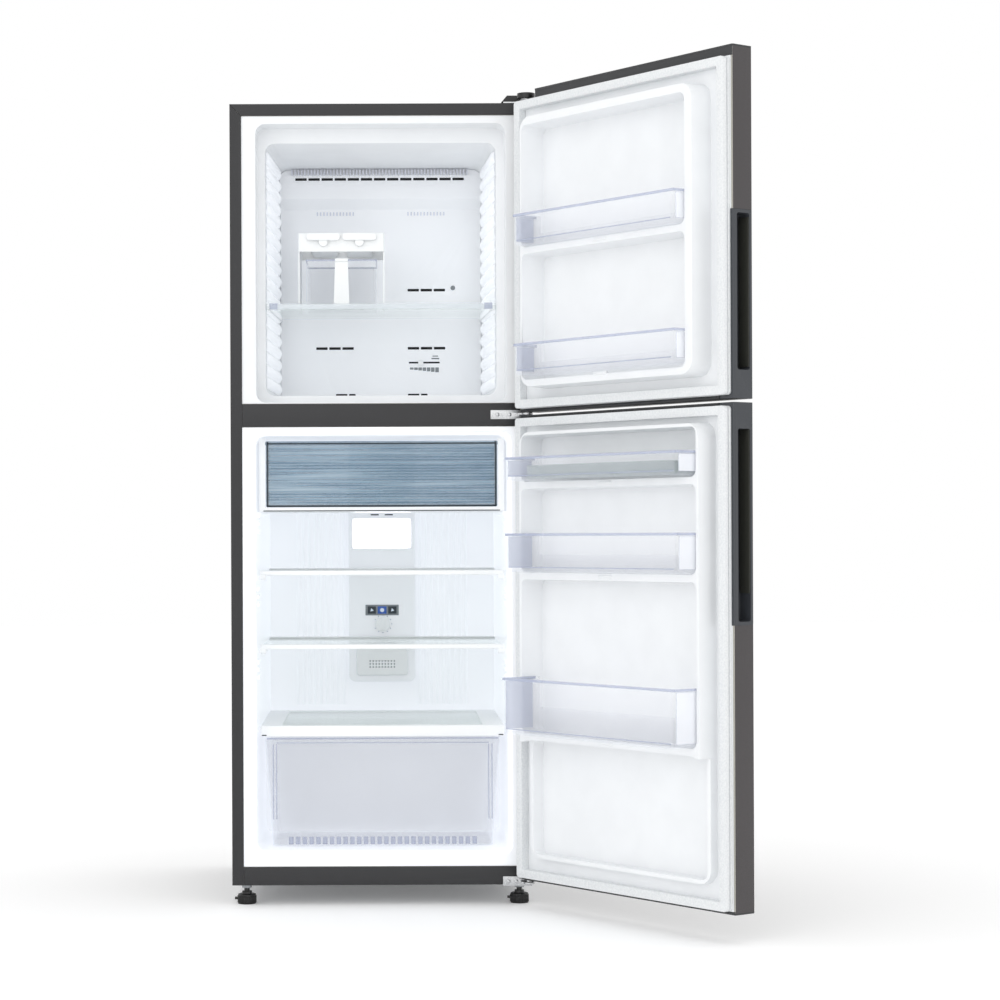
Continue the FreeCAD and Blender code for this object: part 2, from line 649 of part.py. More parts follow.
def grip_block(door, grow=0.0):
    low, high = door["grip"]
    return box(-HALF - grow, -HALF + GRIP_DEPTH, FACE - grow, PLANE + grow, low, high)


def door_skin(door):
    low, high = door["span"][0] + CAP_PLATE, door["span"][1] - CAP_PLATE
    outer = prism("z", (-HALF, FACE), (HALF, PLANE), low, high, DOOR_CORNER)
    inner = prism(
        "z", (-INSIDE, FACE + SHEET), (INSIDE, PLANE + 20), low - 1, high + 1, DOOR_CORNER - SHEET
    )
    skin = outer.cut(inner).cut(grip_block(door, 5.0))
    if door["notched"]:
        skin = skin.cut(notch(CAP_PLATE))
    return skin


def door_caps(door):
    """Moulded caps that close the ends of the skin and carry the hinge pins."""
    low, high = door["span"]
    low_cap, high_cap = door["caps"]
    back = PLANE - LINER - CAP_FIT
    plugs = []
    for z0, z1, plate0, plate1 in (
        (low, low + low_cap, low, low + CAP_PLATE),
        (high - high_cap, high, high - CAP_PLATE, high),
    ):
        plate = prism("z", (-HALF, FACE), (HALF, PLANE), plate0, plate1, DOOR_CORNER)
        plug = prism("z", (-INSIDE, FACE + SHEET), (INSIDE, PLANE - CAP_LAP), z0, z1, DOOR_CORNER - SHEET)
        plugs.append(joined([plate, plug]))
    block_x = HALF - CORNER_NOTCH
    side, front = INSIDE - CAP_INSET, FACE + SHEET + CAP_INSET
    bottom = joined([plugs[0], box(block_x, side, front, back, low, low + PIN_REACH + 3)])
    bottom = bored(bottom, low - 1, low + PIN_REACH + 1)
    top_at = high
    top = plugs[1]
    if door["notched"]:
        top_at = CASE_TOP - NOTCH_CLEARANCE
        web = box(block_x - 3, block_x, front, back, top_at - CAP_WEB, high - 1)
        lid = prism("z", (-HALF, FACE), (HALF, PLANE), top_at - CAP_PLATE, top_at, DOOR_CORNER)
        lid = lid.common(box(block_x, HALF, FACE, PLANE, low, high))
        top = joined([top.cut(notch()), web, lid])
    block = box(block_x, side, front, back, top_at - PIN_REACH - 3, top_at - 0.5)
    top = bored(joined([top, block]), top_at - PIN_REACH - 1, top_at + 1)
    grip = grip_block(door, 5.0)
    return [piece.cut(grip).removeSplitter() for piece in (bottom, top)]


def door_grip(door):
    """Moulded grip in the free edge: a finger pocket that opens sideways."""
    low, high = door["grip"]
    block = prism("z", (-HALF, FACE), (-HALF + GRIP_DEPTH, PLANE), low, high, DOOR_CORNER)
    pocket_low, pocket_high = door["pocket"]
    inner, outer = FACE + 7.0, PLANE - 9.0
    pocket = prism("x", (inner, pocket_low), (outer, pocket_high), -HALF - 1, -HALF + GRIP_POCKET, 4.0)
    return block.cut(pocket)


def hollows(door):
    """Lower and upper height of each hollow of the lining, between its ring and the ledges."""
    rim_low, rim_high = door["rim"][1:]
    ring_low, ring_high = door["ring"][1], door["ring"][2]
    ends = [ring_low + rim_low] + sorted(door["ledges"]) + [ring_high - rim_high]
    last = len(ends) - 2
    return [(ends[i], ends[i + 1] - (LEDGE if i < last else 0)) for i in range(last + 1)]


def recess_half(door):
    return door["ring"][0] - door["rim"][0]


def recesses(door, grow=0.0, corner=RECESS_CORNER):
    """The hollows of the lining as solids, grown on all sides."""
    half = recess_half(door)
    solids = []
    floor = PLANE - PANEL_RECESS - grow
    top = PLANE + door["dike"] + 1
    rise = top - floor
    for start, stop in hollows(door):
        x0, x1 = door["shift"] - half - grow, door["shift"] + half + grow
        draft = RECESS_DRAFT * rise
        low, high = (x0 + draft, start - grow), (x1 - draft, stop - draft + grow)
        near = outline("y", low, high, floor, corner)
        far = outline("y", (x0, start - grow), (x1, stop + grow), top, corner)
        solids.append(Part.makeLoft([near, far], True, True))
    return solids


def raised(door, shrink=0.0):
    """The ring with nothing cut from it, inside its surface by shrink."""
    half, low, high = door["ring"]
    top = PLANE + door["dike"] - shrink
    half, low, high = half - shrink, low + shrink, high - shrink
    draft = DIKE_DRAFT
    near = outline("y", (-half, low), (half, high), PLANE - LINER, DIKE_CORNER)
    far = outline("y", (-half + draft, low + draft), (half - draft, high - draft), top, DIKE_CORNER)
    block = Part.makeLoft([near, far], True, True)
    if door["low_zone"]:
        cut_from = PLANE + LOW_DIKE_HEIGHT - shrink
        block = block.cut(box(-HALF, HALF, cut_from, top + 5, 0, door["low_zone"] - 4 + shrink))
    return block


def door_lining(door):
    low, high = door["span"]
    low_cap, high_cap = door["caps"]
    edge = HALF - LINER_EDGE
    plate = box(-edge, edge, PLANE - LINER, PLANE, low + low_cap, high - high_cap)
    outer = plate.fuse(raised(door))
    for hollow in recesses(door, LINER):
        outer = outer.fuse(hollow.common(box(-HALF, HALF, FACE, PLANE - 0.01, low, high)))
    for hollow in recesses(door):
        outer = outer.cut(hollow)
    inner = raised(door, LINER).common(box(-HALF, HALF, PLANE - LINER, 200, low, high))
    for hollow in recesses(door, LINER):
        inner = inner.cut(hollow)
    shell = outer.cut(inner).cut(grip_block(door, 0.0))
    if door["notched"]:
        shell = shell.cut(notch(CAP_PLATE))
    return shell.removeSplitter()


def door_foam(door, others):
    """Foam of a door as a back slab and the bars of its ring, which meet face to face."""
    low, high = door["span"]
    fill = box(-INSIDE, INSIDE, FACE + SHEET, PLANE - LINER, low + CAP_PLATE, high - CAP_PLATE)
    inner = raised(door, LINER)
    fill = fill.fuse(inner)
    for hollow in recesses(door, LINER, 0.0):
        fill = fill.cut(hollow)
    for other in others:
        fill = fill.cut(other)
    fill = fill.cut(grip_block(door, 5.0))
    if door["notched"]:
        fill = fill.cut(notch(CAP_PLATE))
    fill = max(fill.Solids, key=lambda solid: solid.Volume)
    floor = PLANE - PANEL_RECESS - LINER
    top = PLANE + door["dike"]
    heights = [low]
    for start, stop in hollows(door):
        heights += [start - LINER, stop + LINER - RECESS_DRAFT * (top + 1 - floor)]
    heights.append(high)
    blocks = [box(-HALF, HALF, FACE, floor, low, high)]
    blocks += [box(-HALF, HALF, floor, top, *pair) for pair in zip(heights, heights[1:])]
    return Part.makeCompound([solid for block in blocks for solid in fill.common(block).Solids])


def door_gasket(door):
    low, high = door["span"][0] + GASKET_EDGE, door["span"][1] - door["gasket_top"]
    half = HALF - GASKET_EDGE
    outer = prism("y", (-half, low), (half, high), PLANE, PLANE + GASKET_THICKNESS, 6.0)
    hole = prism(
        "y",
        (-half + GASKET_WIDTH, low + GASKET_WIDTH),
        (half - GASKET_WIDTH, high - GASKET_WIDTH),
        PLANE - 1,
        PLANE + GASKET_THICKNESS + 1,
        2.0,
    )
    ring = outer.cut(hole)
    groove_low = PLANE + 5.0
    groove = prism("y", (-half - 1, low - 1), (half + 1, high + 1), groove_low, groove_low + 2.5, 6.0)
    core = prism("y", (-half + 3, low + 3), (half - 3, high - 3), groove_low - 1, groove_low + 4, 4.0)
    return ring.cut(groove.cut(core))


# ---------------------------------------------------------------- door bins
def bin_shape(room_door, base, height, front, wall=BIN_WALL):
    """An open-topped bin that sits in the lining's ring on a ledge."""
    door = DOORS[room_door]
    half = recess_half(door) - BIN_GAP
    back = PLANE + 8.0
    x0, x1 = door["shift"] - half, door["shift"] + half
    y1 = PLANE + front
    base = base + PLAY
    rim = base + height
    above = rim + 4 * RECESS_CORNER
    outer = prism("z", (x0, back), (x1, y1), base, rim, BIN_CORNER)
    outer = outer.common(prism("y", (x0, base), (x1, above), back - 1, y1 + 1, RECESS_CORNER))
    low, high = (x0 + wall, back + wall), (x1 - wall, y1 - wall)
    inner = prism("z", low, high, base + wall, rim + 1, BIN_CORNER - wall)
    low, high = (x0 + wall, base + wall), (x1 - wall, above)
    inner = inner.common(prism("y", low, high, back, y1, RECESS_CORNER - wall))
    low_back = box(x0 + 12, x1 - 12, back - 1, back + wall + 1, base + 0.45 * height, base + height + 1)
    return outer.cut(inner).cut(low_back)


def egg_tray():
    """Egg holder that lies in the top bin of the fridge door."""
    base = EGG_BIN_BASE + PLAY + BIN_WALL + 0.3
    back, front = PLANE + 8.0 + BIN_WALL + 1.0, PLANE + FRIDGE_BIN_FRONT - BIN_WALL - 1.0
    half = recess_half(DOORS["fridge_door"]) - BIN_GAP
    x0, x1 = EGG_GRIP_GAP - half, half - EGG_HINGE_GAP
    top = base + 24.0
    tray = prism("z", (x0, back), (x1, front), base, top, 8.0)
    tray = tray.cut(prism("z", (x0 + 2, back + 2), (x1 - 2, front - 2), base - 1, top - 2, 6.0))
    pitch = (x1 - x0) / EGG_COUNT
    for index in range(EGG_COUNT):
        x = x0 + (index + 0.5) * pitch
        tray = tray.cut(rod(x, (back + front) / 2, base, EGG_HOLE, 40, V(0, 0, 1)))
    return tray


# ---------------------------------------------------------------- freezer contents
def freezer_rear():
    return LINER_BACK - EVAPORATOR_ROOM


def slots(x0, x1, z, height=5.0, pitch=25.4, gap=3.4):
    """A row of slots cut through the rear cover between two places."""
    row = []
    x = x0
    while x < x1 - 1:
        stop = min(x + pitch - gap, x1)
        row.append(box(x, stop, 0, CASE_DEPTH, z - height / 2, z + height / 2))
        x += pitch
    return row


def evaporator_cover():
    """Rear panel of the freezer, with a header that blows the air and a slot for the control."""
    rear = freezer_rear()
    front = rear - HEADER_DEPTH
    top = FREEZER["inner"][2] + 5
    low = FREEZER["inner"][1] - 5
    knee = ceiling_at(FREEZER, rear) - HEADER_HEIGHT
    t = COVER_THICKNESS
    profile = [
        V(0, front, top),
        V(0, front, knee),
        V(0, rear, knee - 19),
        V(0, rear, low),
        V(0, rear + t, low),
        V(0, rear + t, knee - 19 + t / 2),
        V(0, front + t, knee + t / 2),
        V(0, front + t, top),
    ]
    sheet = Part.Face(Part.makePolygon(profile + profile[:1])).extrude(V(2 * HALF, 0, 0))
    sheet.translate(V(-HALF, 0, 0))
    sheet = sheet.common(space(FREEZER, -0.5, LINER_CORNER))
    floor = FREEZER["inner"][1]
    rows = slots(-165, 165, knee + 38)
    rows += slots(52, 129, floor + 221) + slots(-126, -49, floor + 108) + slots(52, 129, floor + 108)
    rows += slots(-88, -50, floor + 17) + slots(52, 90, floor + 17)
    rows.append(box(54, 114, 0, CASE_DEPTH, floor + 78.4, floor + 81.6))
    for row in rows:
        sheet = sheet.cut(row)
    return sheet


def control_slider():
    """Knob of the cold-air control, with a neck through the slot in the rear cover."""
    rear = freezer_rear()
    z = FREEZER["inner"][1] + 80
    knob = prism("y", (72, z - 5), (82, z + 5), rear - 8, rear - 0.4, 2.0)
    neck = box(74, 80, rear - 1, rear + COVER_THICKNESS + 3, z - 1.3, z + 1.3)
    return joined([knob, neck])


def freezer_shelf_top():
    low, high = FREEZER["inner"][1], FREEZER["inner"][2]
    return low + FREEZER_SHELF_SHARE * (high - low)


def freezer_shelf():
    top = freezer_shelf_top()
    back = freezer_rear() - 6
    slab = box(-HALF, HALF, FREEZER_SHELF_FRONT, back, top - SHELF_PANE, top)
    trim = box(-HALF, HALF, FREEZER_SHELF_FRONT, FREEZER_SHELF_FRONT + 5, top - FREEZER_SHELF_TRIM, top)
    room = space(FREEZER, -PLAY, LINER_CORNER)
    half = half_at(FREEZER, FREEZER_MOUTH) - PLAY
    limit = box(-half, half, 0, back, 0, top)
    return joined([slab, trim]).common(room).common(limit)


def ribs(room, front, back, z, depth=6.0, height=7.0):
    """Ledges on both walls of a compartment that carry a shelf."""
    pieces = []
    for side in (-1, 1):
        near, far = half_at(room, front), half_at(room, back)
        corners = [
            V(side * (near + 0.4), front, z - height),
            V(side * (near - depth), front, z - height),
            V(side * (far - depth), back, z - height),
            V(side * (far + 0.4), back, z - height),
        ]
        pieces.append(Part.Face(Part.makePolygon(corners + corners[:1])).extrude(V(0, 0, height)))
    return pieces


def tray_places():
    return [ICE_FRAME_CENTRE - TRAY_SPACING / 2, ICE_FRAME_CENTRE + TRAY_SPACING / 2]


def ice_base():
    return freezer_shelf_top() + 0.5


def ice_axis():
    return ice_base() + ICE_BIN_HEIGHT + ICE_FRAME_HEIGHT / 2 + 14


def ice_maker_frame():
    """Stand for the twist trays: two side plates on the shelf and a frame round both trays."""
    x0 = ICE_FRAME_CENTRE - ICE_FRAME_WIDTH / 2
    x1 = ICE_FRAME_CENTRE + ICE_FRAME_WIDTH / 2
    y0, y1 = ICE_FRAME_FRONT, ICE_FRAME_FRONT + ICE_FRAME_DEPTH
    centre = ice_axis()
    low, high = centre - ICE_FRAME_HEIGHT / 2, centre + ICE_FRAME_HEIGHT / 2
    frame = prism("z", (x0, y0), (x1, y1), low, high, 4.0)
    frame = frame.cut(prism("z", (x0 + 2.5, y0 + 2.5), (x1 - 2.5, y1 - 2.5), low - 1, high + 1, 2.0))
    foot_low = freezer_shelf_top()
    for x in (x0, x1 - 2.5):
        frame = frame.fuse(box(x, x + 2.5, y0 + 6, y1 - 6, foot_low, low + 2))
    for x in tray_places():
        frame = frame.cut(rod(x, y0 - 5, centre, 4 + PIN_CLEARANCE, ICE_FRAME_DEPTH + 10, V(0, 1, 0)))
    return frame.removeSplitter()


def ice_tray(x):
    """Twist tray with a lever in front of the frame and pins in both ends of it."""
    y0, y1 = ICE_FRAME_FRONT + 5.0, ICE_FRAME_FRONT + ICE_FRAME_DEPTH - 5.0
    z = ice_axis()
    tray = prism("y", (x - 26, z - 12), (x + 26, z + 10), y0, y1, 9.0)
    tray = tray.cut(box(x - 23, x + 23, y0 + 3, y1 - 3, z + 2, z + 20))
    rows = 4
    pitch = (y1 - y0 - 3) / rows
    for row in range(rows):
        start = y0 + 1.5 + row * pitch
        for x0, x1 in ((x - 23, x - 1.5), (x + 1.5, x + 23)):
            tray = tray.cut(box(x0, x1, start + 1.5, start + pitch - 1.5, z - 8, z + 20))
    pin = rod(x, ICE_FRAME_FRONT - 4, z, 4, y0 + 1 - ICE_FRAME_FRONT + 4, V(0, 1, 0))
    back_pin = rod(x, y1 - 1, z, 4, 6, V(0, 1, 0))
    half, top = TRAY_LEVER_WIDTH / 2, z + ICE_FRAME_HEIGHT / 2 - 1
    low, high = (x - half, top - TRAY_LEVER_HEIGHT), (x + half, top)
    lever = prism("y", low, high, ICE_FRAME_FRONT - 12, ICE_FRAME_FRONT - 1.5, 5.5)
    boss = rod(x, ICE_FRAME_FRONT - 8, z, 8, 6.5, V(0, 1, 0))
    return joined([tray, pin, back_pin, lever, boss])


def ice_bin():
    x0, x1 = ICE_FRAME_CENTRE - ICE_BIN_WIDTH / 2, ICE_FRAME_CENTRE + ICE_BIN_WIDTH / 2
    y0, y1 = ICE_BIN_FRONT, ICE_FRAME_FRONT + ICE_FRAME_DEPTH - 6
    low = ice_base()
    high = low + ICE_BIN_HEIGHT
    outer = prism("z", (x0, y0), (x1, y1), low, high, 8.0)
    return outer.cut(prism("z", (x0 + 2, y0 + 2), (x1 - 2, y1 - 2), low + 2, high + 1, 6.0))


def evaporator():
    """Finned coil behind the rear cover."""
    rear = freezer_rear() + 30
    floor = FREEZER["inner"][1] + 25
    half = half_at(FREEZER, LINER_BACK) - 14
    tubes = []
    for index in range(8):
        y, z = rear + 20 + 35 * (index % 2), floor + 12 + 22 * index
        tubes.append(rod(-half, y, z, 4, 2 * half, V(1, 0, 0)))
    count = 14
    pitch = (2 * half - 20) / (count - 1)
    fins = []
    for index in range(count):
        x = -half + 10 + index * pitch
        fins.append(box(x - 0.5, x + 0.5, rear, rear + 75, floor, floor + 180))
    return joined(tubes + fins)


def fan_place():
    return 0.0, freezer_rear() + 62.0, FREEZER["inner"][1] + 285.0


def fan_motor():
    x, y, z = fan_place()
    can = rod(x, y + 14, z, 26, 34, V(0, 1, 0))
    bracket = box(x - 60, x + 60, y + 48, y + 51, z - 20, z + 20)
    back = LINER_BACK - 1.0
    struts = [box(x + side * 55 - 4, x + side * 55 + 4, y + 51, back, z - 15, z + 15) for side in (-1, 1)]
    return joined([can, bracket] + struts).cut(rod(x, y + 10, z, 2.5 + PIN_CLEARANCE, 20, V(0, 1, 0)))


def fan_wheel():
    x, y, z = fan_place()
    hub = rod(x, y - 12, z, 15, 22, V(0, 1, 0))
    shaft = rod(x, y, z, 2.5, 26, V(0, 1, 0))
    pieces = [hub, shaft]
    count = 5
    for index in range(count):
        blade = box(x + 12, x + FAN_RADIUS, y - 3, y - 1, z - 13, z + 13)
        blade.rotate(V(x, y - 2, z), V(1, 0, 0), 28)
        blade.rotate(V(x, y, z), V(0, 1, 0), 360 * index / count)
        pieces.append(blade)
    return joined(pieces)


# ---------------------------------------------------------------- fridge contents
def fridge_height(share):
    low, high = FRIDGE["inner"][1], FRIDGE["inner"][2]
    return low + share * (high - low)


DUCT_FRONT = LINER_BACK - DUCT_THICKNESS


def fridge_duct():
    """Air duct down the back of the fridge compartment, with the lamp and the controls on it."""
    half = DUCT_WIDTH / 2
    top = FRIDGE["inner"][2] - 0.5
    low = top - DUCT_REACH * (FRIDGE["inner"][2] - FRIDGE["inner"][1])
    duct = prism("y", (-half, low), (half, top + 20), DUCT_FRONT, LINER_BACK - 0.3, 14.0)
    duct = duct.cut(box(-HALF, HALF, 0, CASE_DEPTH, top, CASE_TOP))
    hollow = box(-half + 12, half - 12, DUCT_FRONT + 3, LINER_BACK, low + 14, top - 12)
    duct = duct.cut(hollow)
    lamp, lamp_half = lamp_place(), LAMP_WIDTH / 2 + 0.3
    lamp_top = lamp + LAMP_HEIGHT + 0.3
    duct = duct.cut(box(-lamp_half, lamp_half, DUCT_FRONT - 1, DUCT_FRONT + 10, lamp - 0.3, lamp_top))
    x, z = knob_place()
    return duct.cut(rod(x, DUCT_FRONT - 1, z, 4 + PIN_CLEARANCE, 20, V(0, 1, 0)))


def lamp_place():
    return fridge_height(0.727)


def knob_place():
    return 1.5, fridge_height(0.526)


def lamp_lens():
    low, half = lamp_place(), LAMP_WIDTH / 2
    front = DUCT_FRONT - 4
    lens = prism("y", (-half, low), (half, low + LAMP_HEIGHT), front, DUCT_FRONT + 2.8, 6.0)
    return softened(lens, 3.0, lambda edge: level(edge, "y", front))


def ion_unit_cover():
    low = shelf_tops()[1] - ION_DROP - ION_HEIGHT
    half = ION_WIDTH / 2
    cover = prism("y", (-half, low), (half, low + ION_HEIGHT), DUCT_FRONT - 8, DUCT_FRONT, 7.0)
    return softened(cover, 3.0, lambda edge: level(edge, "y", DUCT_FRONT - 8))


def temp_knob():
    x, z = knob_place()
    knob = rod(x, DUCT_FRONT - KNOB_THICKNESS, z, KNOB_RADIUS, KNOB_THICKNESS - 0.4, V(0, 1, 0))
    knob = softened(knob, 1.5, lambda edge: level(edge, "y", DUCT_FRONT - KNOB_THICKNESS))
    grip = box(x - 2.5, x + 2.5, DUCT_FRONT - KNOB_THICKNESS - 3, DUCT_FRONT - 5, z - 12, z + 12)
    shaft = rod(x, DUCT_FRONT - 2, z, 4, 16, V(0, 1, 0))
    return joined([knob, grip, shaft])


def shelf_half(back):
    return half_at(FRIDGE, back) - PLAY


def shelf_pane(top):
    back = SHELF_FRONT + SHELF_DEPTH
    half = shelf_half(back) - 1.5
    front, rear = SHELF_FRONT + TRIM_WIDTH / 2, back - TRIM_WIDTH / 2
    return box(-half, half, front, rear, top - SHELF_PANE - 1.5, top - 1.5)


def shelf_trim(top):
    """Front and back mouldings of a glass shelf, with round ends at the front."""
    back = SHELF_FRONT + SHELF_DEPTH
    half = shelf_half(back)
    mouldings = []
    for y0 in (SHELF_FRONT, back - TRIM_WIDTH):
        bar = prism("x", (y0, top - SHELF_TRIM), (y0 + TRIM_WIDTH, top), -half, half, 3.0)
        mouldings.append(bar.cut(shelf_pane(top)))
    for side in (-1, 1):
        x0 = side * half if side < 0 else half - 10
        bead = rod(x0, SHELF_FRONT + 6.5, top - SHELF_TRIM - 2, 6.5, 10, V(1, 0, 0))
        mouldings[0] = mouldings[0].fuse(bead)
    mouldings[0] = mouldings[0].cut(shelf_pane(top)).removeSplitter()
    return Part.makeCompound(mouldings)


def crisper_cover_frame():
    top = CRISPER_TOP
    back = CRISPER_FRONT + CRISPER_COVER_DEPTH
    half = shelf_half(back)
    plate = prism("z", (-half, CRISPER_FRONT), (half, back), top - 5, top, 4.0)
    lip = box(-half, half, CRISPER_FRONT + 0.01, CRISPER_FRONT + 3, top - CRISPER_LIP, top - 4)
    frame = joined([plate, lip])
    return frame.cut(crisper_cover_glass(0.0))


def crisper_cover_glass(clearance=0.1):
    top = CRISPER_TOP
    back = CRISPER_FRONT + CRISPER_COVER_DEPTH
    half = shelf_half(back) - 38 - clearance
    front = CRISPER_FRONT + 26 + clearance
    return prism("z", (-half, front), (half, back - 30 - clearance), top - 4 + clearance, top + 0.5, 5.0)


def crisper_drawer():
    """Clear drawer on the compartment floor, with a flared front and a hand grip along its top."""
    low = FRIDGE["inner"][1] + 1.5
    high = CRISPER_TOP - CRISPER_LIP - 3
    half = shelf_half(CRISPER_FRONT + DRAWER_DEPTH) - 8
    y0, y1 = CRISPER_FRONT + 6, CRISPER_FRONT + DRAWER_DEPTH
    wall = CRISPER_WALL
    near = outline("z", (-half + 14, y0 + 8), (half - 14, y1 - 6), low, 14.0)
    far = outline("z", (-half, y0), (half, y1), high, 14.0)
    outer = Part.makeLoft([near, far], True, True)
    corner = (half - 14 - wall, y1 - 6 - wall)
    near = outline("z", (-corner[0], y0 + 8 + wall), corner, low + wall, 12.0)
    far = outline("z", (-half + wall, y0 + wall), (half - wall, y1 - wall), high + 1, 12.0)
    inner = Part.makeLoft([near, far], True, True)
    grip = box(-half + 24, half - 24, y0 - 4, y0 + 4, high - 9, high)
    return joined([outer.cut(inner), grip.cut(inner)])


def chiller_top():
    return FRIDGE["inner"][2] - FLAP_DROP


def chiller_shelf():
    """Floor of the chiller with a low front lip and a rail up each side that carries the flap."""
    flap_low = chiller_top() - FLAP_HEIGHT
    back = FLAP_FRONT + CHILLER_DEPTH
    half = shelf_half(back)
    floor = box(-half, half, FLAP_FRONT, back, flap_low - 8, flap_low - 4)
    lip = box(-half, half, FLAP_FRONT - 2, FLAP_FRONT + 3, flap_low - 8, flap_low - 1)
    sides = []
    for side in (-1, 1):
        x0, x1 = sorted((side * half, side * (half - 3)))
        sides.append(box(x0, x1, FLAP_FRONT, FLAP_FRONT + 46, flap_low - 8, chiller_top() + 5))
        x0, x1 = sorted((side * half, side * (half - GUIDE_WIDTH + 3)))
        sides.append(box(x0, x1, FLAP_FRONT - 2, FLAP_FRONT + 3, flap_low - 8, chiller_top() + 5))
    shelf = joined([floor, lip] + sides).common(space(FRIDGE, -PLAY / 2, LINER_CORNER))
    y = FLAP_FRONT + FLAP_THICKNESS / 2 + 4
    return shelf.cut(rod(-HALF, y, flap_axis(), 3 + PIN_CLEARANCE, CASE_WIDTH, V(1, 0, 0)))


def flap_axis():
    return chiller_top() - 4.0


def flap_half():
    return shelf_half(FLAP_FRONT + CHILLER_DEPTH) - GUIDE_WIDTH + 2


def chiller_flap():
    """Tinted door of the chiller, hung on two pins at its top edge."""
    low, high = chiller_top() - FLAP_HEIGHT, chiller_top()
    half = flap_half()
    y = FLAP_FRONT + 4
    pane = prism("y", (-half, low), (half, high), y, y + FLAP_THICKNESS, 3.0)
    reach = shelf_half(FLAP_FRONT + CHILLER_DEPTH) - 0.5
    pins = []
    for x in (-reach, half - 8):
        pins.append(rod(x, y + FLAP_THICKNESS / 2, flap_axis(), 3, reach - half + 8, V(1, 0, 0)))
    hub = rod(-half, y + FLAP_THICKNESS / 2, flap_axis(), 4, 2 * half, V(1, 0, 0))
    return joined([pane, hub] + pins)


# ---------------------------------------------------------------- write every piece
def shelf_tops():
    return fridge_height(UPPER_SHELF_SHARE), fridge_height(LOWER_SHELF_SHARE)


def fridge_lining():
    shell = lining(FRIDGE, True)
    back = SHELF_FRONT + SHELF_DEPTH
    pieces = [shell]
    for top in shelf_tops():
        pieces += ribs(FRIDGE, SHELF_FRONT + 30, back, top - SHELF_TRIM - 0.5)
    pieces += ribs(FRIDGE, CRISPER_FRONT + 20, BAY_FRONT - HUMP_WALL, CRISPER_TOP - 5.5)
    pieces += ribs(FRIDGE, FLAP_FRONT + 6, FLAP_FRONT + CHILLER_DEPTH, chiller_top() - FLAP_HEIGHT - 8.5)
    return joined(pieces)


def freezer_lining():
    back = freezer_rear() - 20
    low_ribs = ribs(FREEZER, FREEZER_MOUTH + 20, back, freezer_shelf_top() - SHELF_PANE - 0.5)
    return joined([lining(FREEZER, False)] + low_ribs)


def write_doors():
    for name, door in DOORS.items():
        skin = door_skin(door)
        caps = door_caps(door)
        lining_shell = door_lining(door)
        grip = door_grip(door)
        foam = door_foam(door, [skin, lining_shell, grip] + caps)
        write(name + "_skin", opened(skin))
        write(name + "_caps", opened(Part.makeCompound(caps)))
        write(name + "_liner", opened(lining_shell))
        write(name + "_grip", opened(grip))
        write(name + "_foam", opened(foam))
        write(name + "_gasket", opened(door_gasket(door)))


def write_all():
    write("left_side_panel", side_panel(-1))
    write("right_side_panel", side_panel(1))
    write("top_panel", top_panel())
    write("back_panel", box(-INSIDE, INSIDE, FOAM_BACK, CASE_DEPTH, BAY_TOP, CASE_TOP - SHEET))
    write("center_rail", rail(RAIL_BASE, RAIL_TOP))
    write("bottom_rail", rail(CASE_LIFT, CASE_LIFT + BOTTOM_RAIL))
    write("base_plate", base_plate())
    write("cabinet_foam", cabinet_foam())
    write("freezer_liner", freezer_lining())
    write("fridge_liner", fridge_lining())
    write("evaporator_cover", evaporator_cover())
    write("evaporator", evaporator())
    write("fan_motor", fan_motor())
    write("fan_wheel", fan_wheel())
    write("freezer_shelf", freezer_shelf())
    write("ice_maker_frame", ice_maker_frame())
    for node, x in zip(("ice_tray_left", "ice_tray_right"), tray_places()):
        write(node, ice_tray(x))
    write("ice_bin", ice_bin())
    write("freezer_control_slider", control_slider())
    write("fridge_duct", fridge_duct())
    write("lamp_lens", lamp_lens())
    write("ion_unit_cover", ion_unit_cover())
    write("temp_knob", temp_knob())
    write("chiller_shelf", chiller_shelf())
    write("chiller_flap", chiller_flap())
    for name, top in zip(("upper_shelf", "lower_shelf"), shelf_tops()):
        write(name + "_glass", shelf_pane(top))
        write(name + "_trim", shelf_trim(top))
    write("crisper_cover_frame", crisper_cover_frame())
    write("crisper_cover_glass", crisper_cover_glass())
    write("crisper_drawer", crisper_drawer())
    write("top_hinge", top_hinge())
    write("top_hinge_cover", top_hinge_cover())
    write("mid_hinge", mid_hinge())
    write("bottom_hinge", bottom_hinge())
    write("compressor", compressor())
    write("cord_gland", cord_gland())
    for node, x in zip(("foot_left", "foot_right"), foot_places()):
        write(node, foot(x))
    write("rear_rollers", rear_rollers())
    write_doors()
    freezer_bins = (("freezer_bin_upper", UPPER_BIN_BASE), ("freezer_bin_lower", LOWER_BIN_BASE))
    for node, base in freezer_bins:
        write(node, opened(bin_shape("freezer_door", base, FREEZER_BIN_HEIGHT, FREEZER_BIN_FRONT)))
    fridge_bins = (
        ("fridge_bin_top", EGG_BIN_BASE, EGG_BIN_HEIGHT, FRIDGE_BIN_FRONT),
        ("fridge_bin_middle", MIDDLE_BIN_BASE, MIDDLE_BIN_HEIGHT, FRIDGE_BIN_FRONT),
        ("fridge_bin_bottom", BOTTLE_BIN_BASE, BOTTLE_BIN_HEIGHT, BOTTLE_BIN_FRONT),
    )
    for node, base, height, front in fridge_bins:
        write(node, opened(bin_shape("fridge_door", base, height, front)))
    write("egg_tray", opened(egg_tray()))


write_all()
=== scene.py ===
"""Looks for a two-door refrigerator: enamel, vacuum-formed linings, clear bins and tinted glass.

Lengths are in metres unless a name ends in _mm. Door pieces are shaped with the doors closed and then
swung open about the hinge line that the frame gives.
"""

import json
import math

import bmesh
import bpy
from mathutils import Matrix, Vector


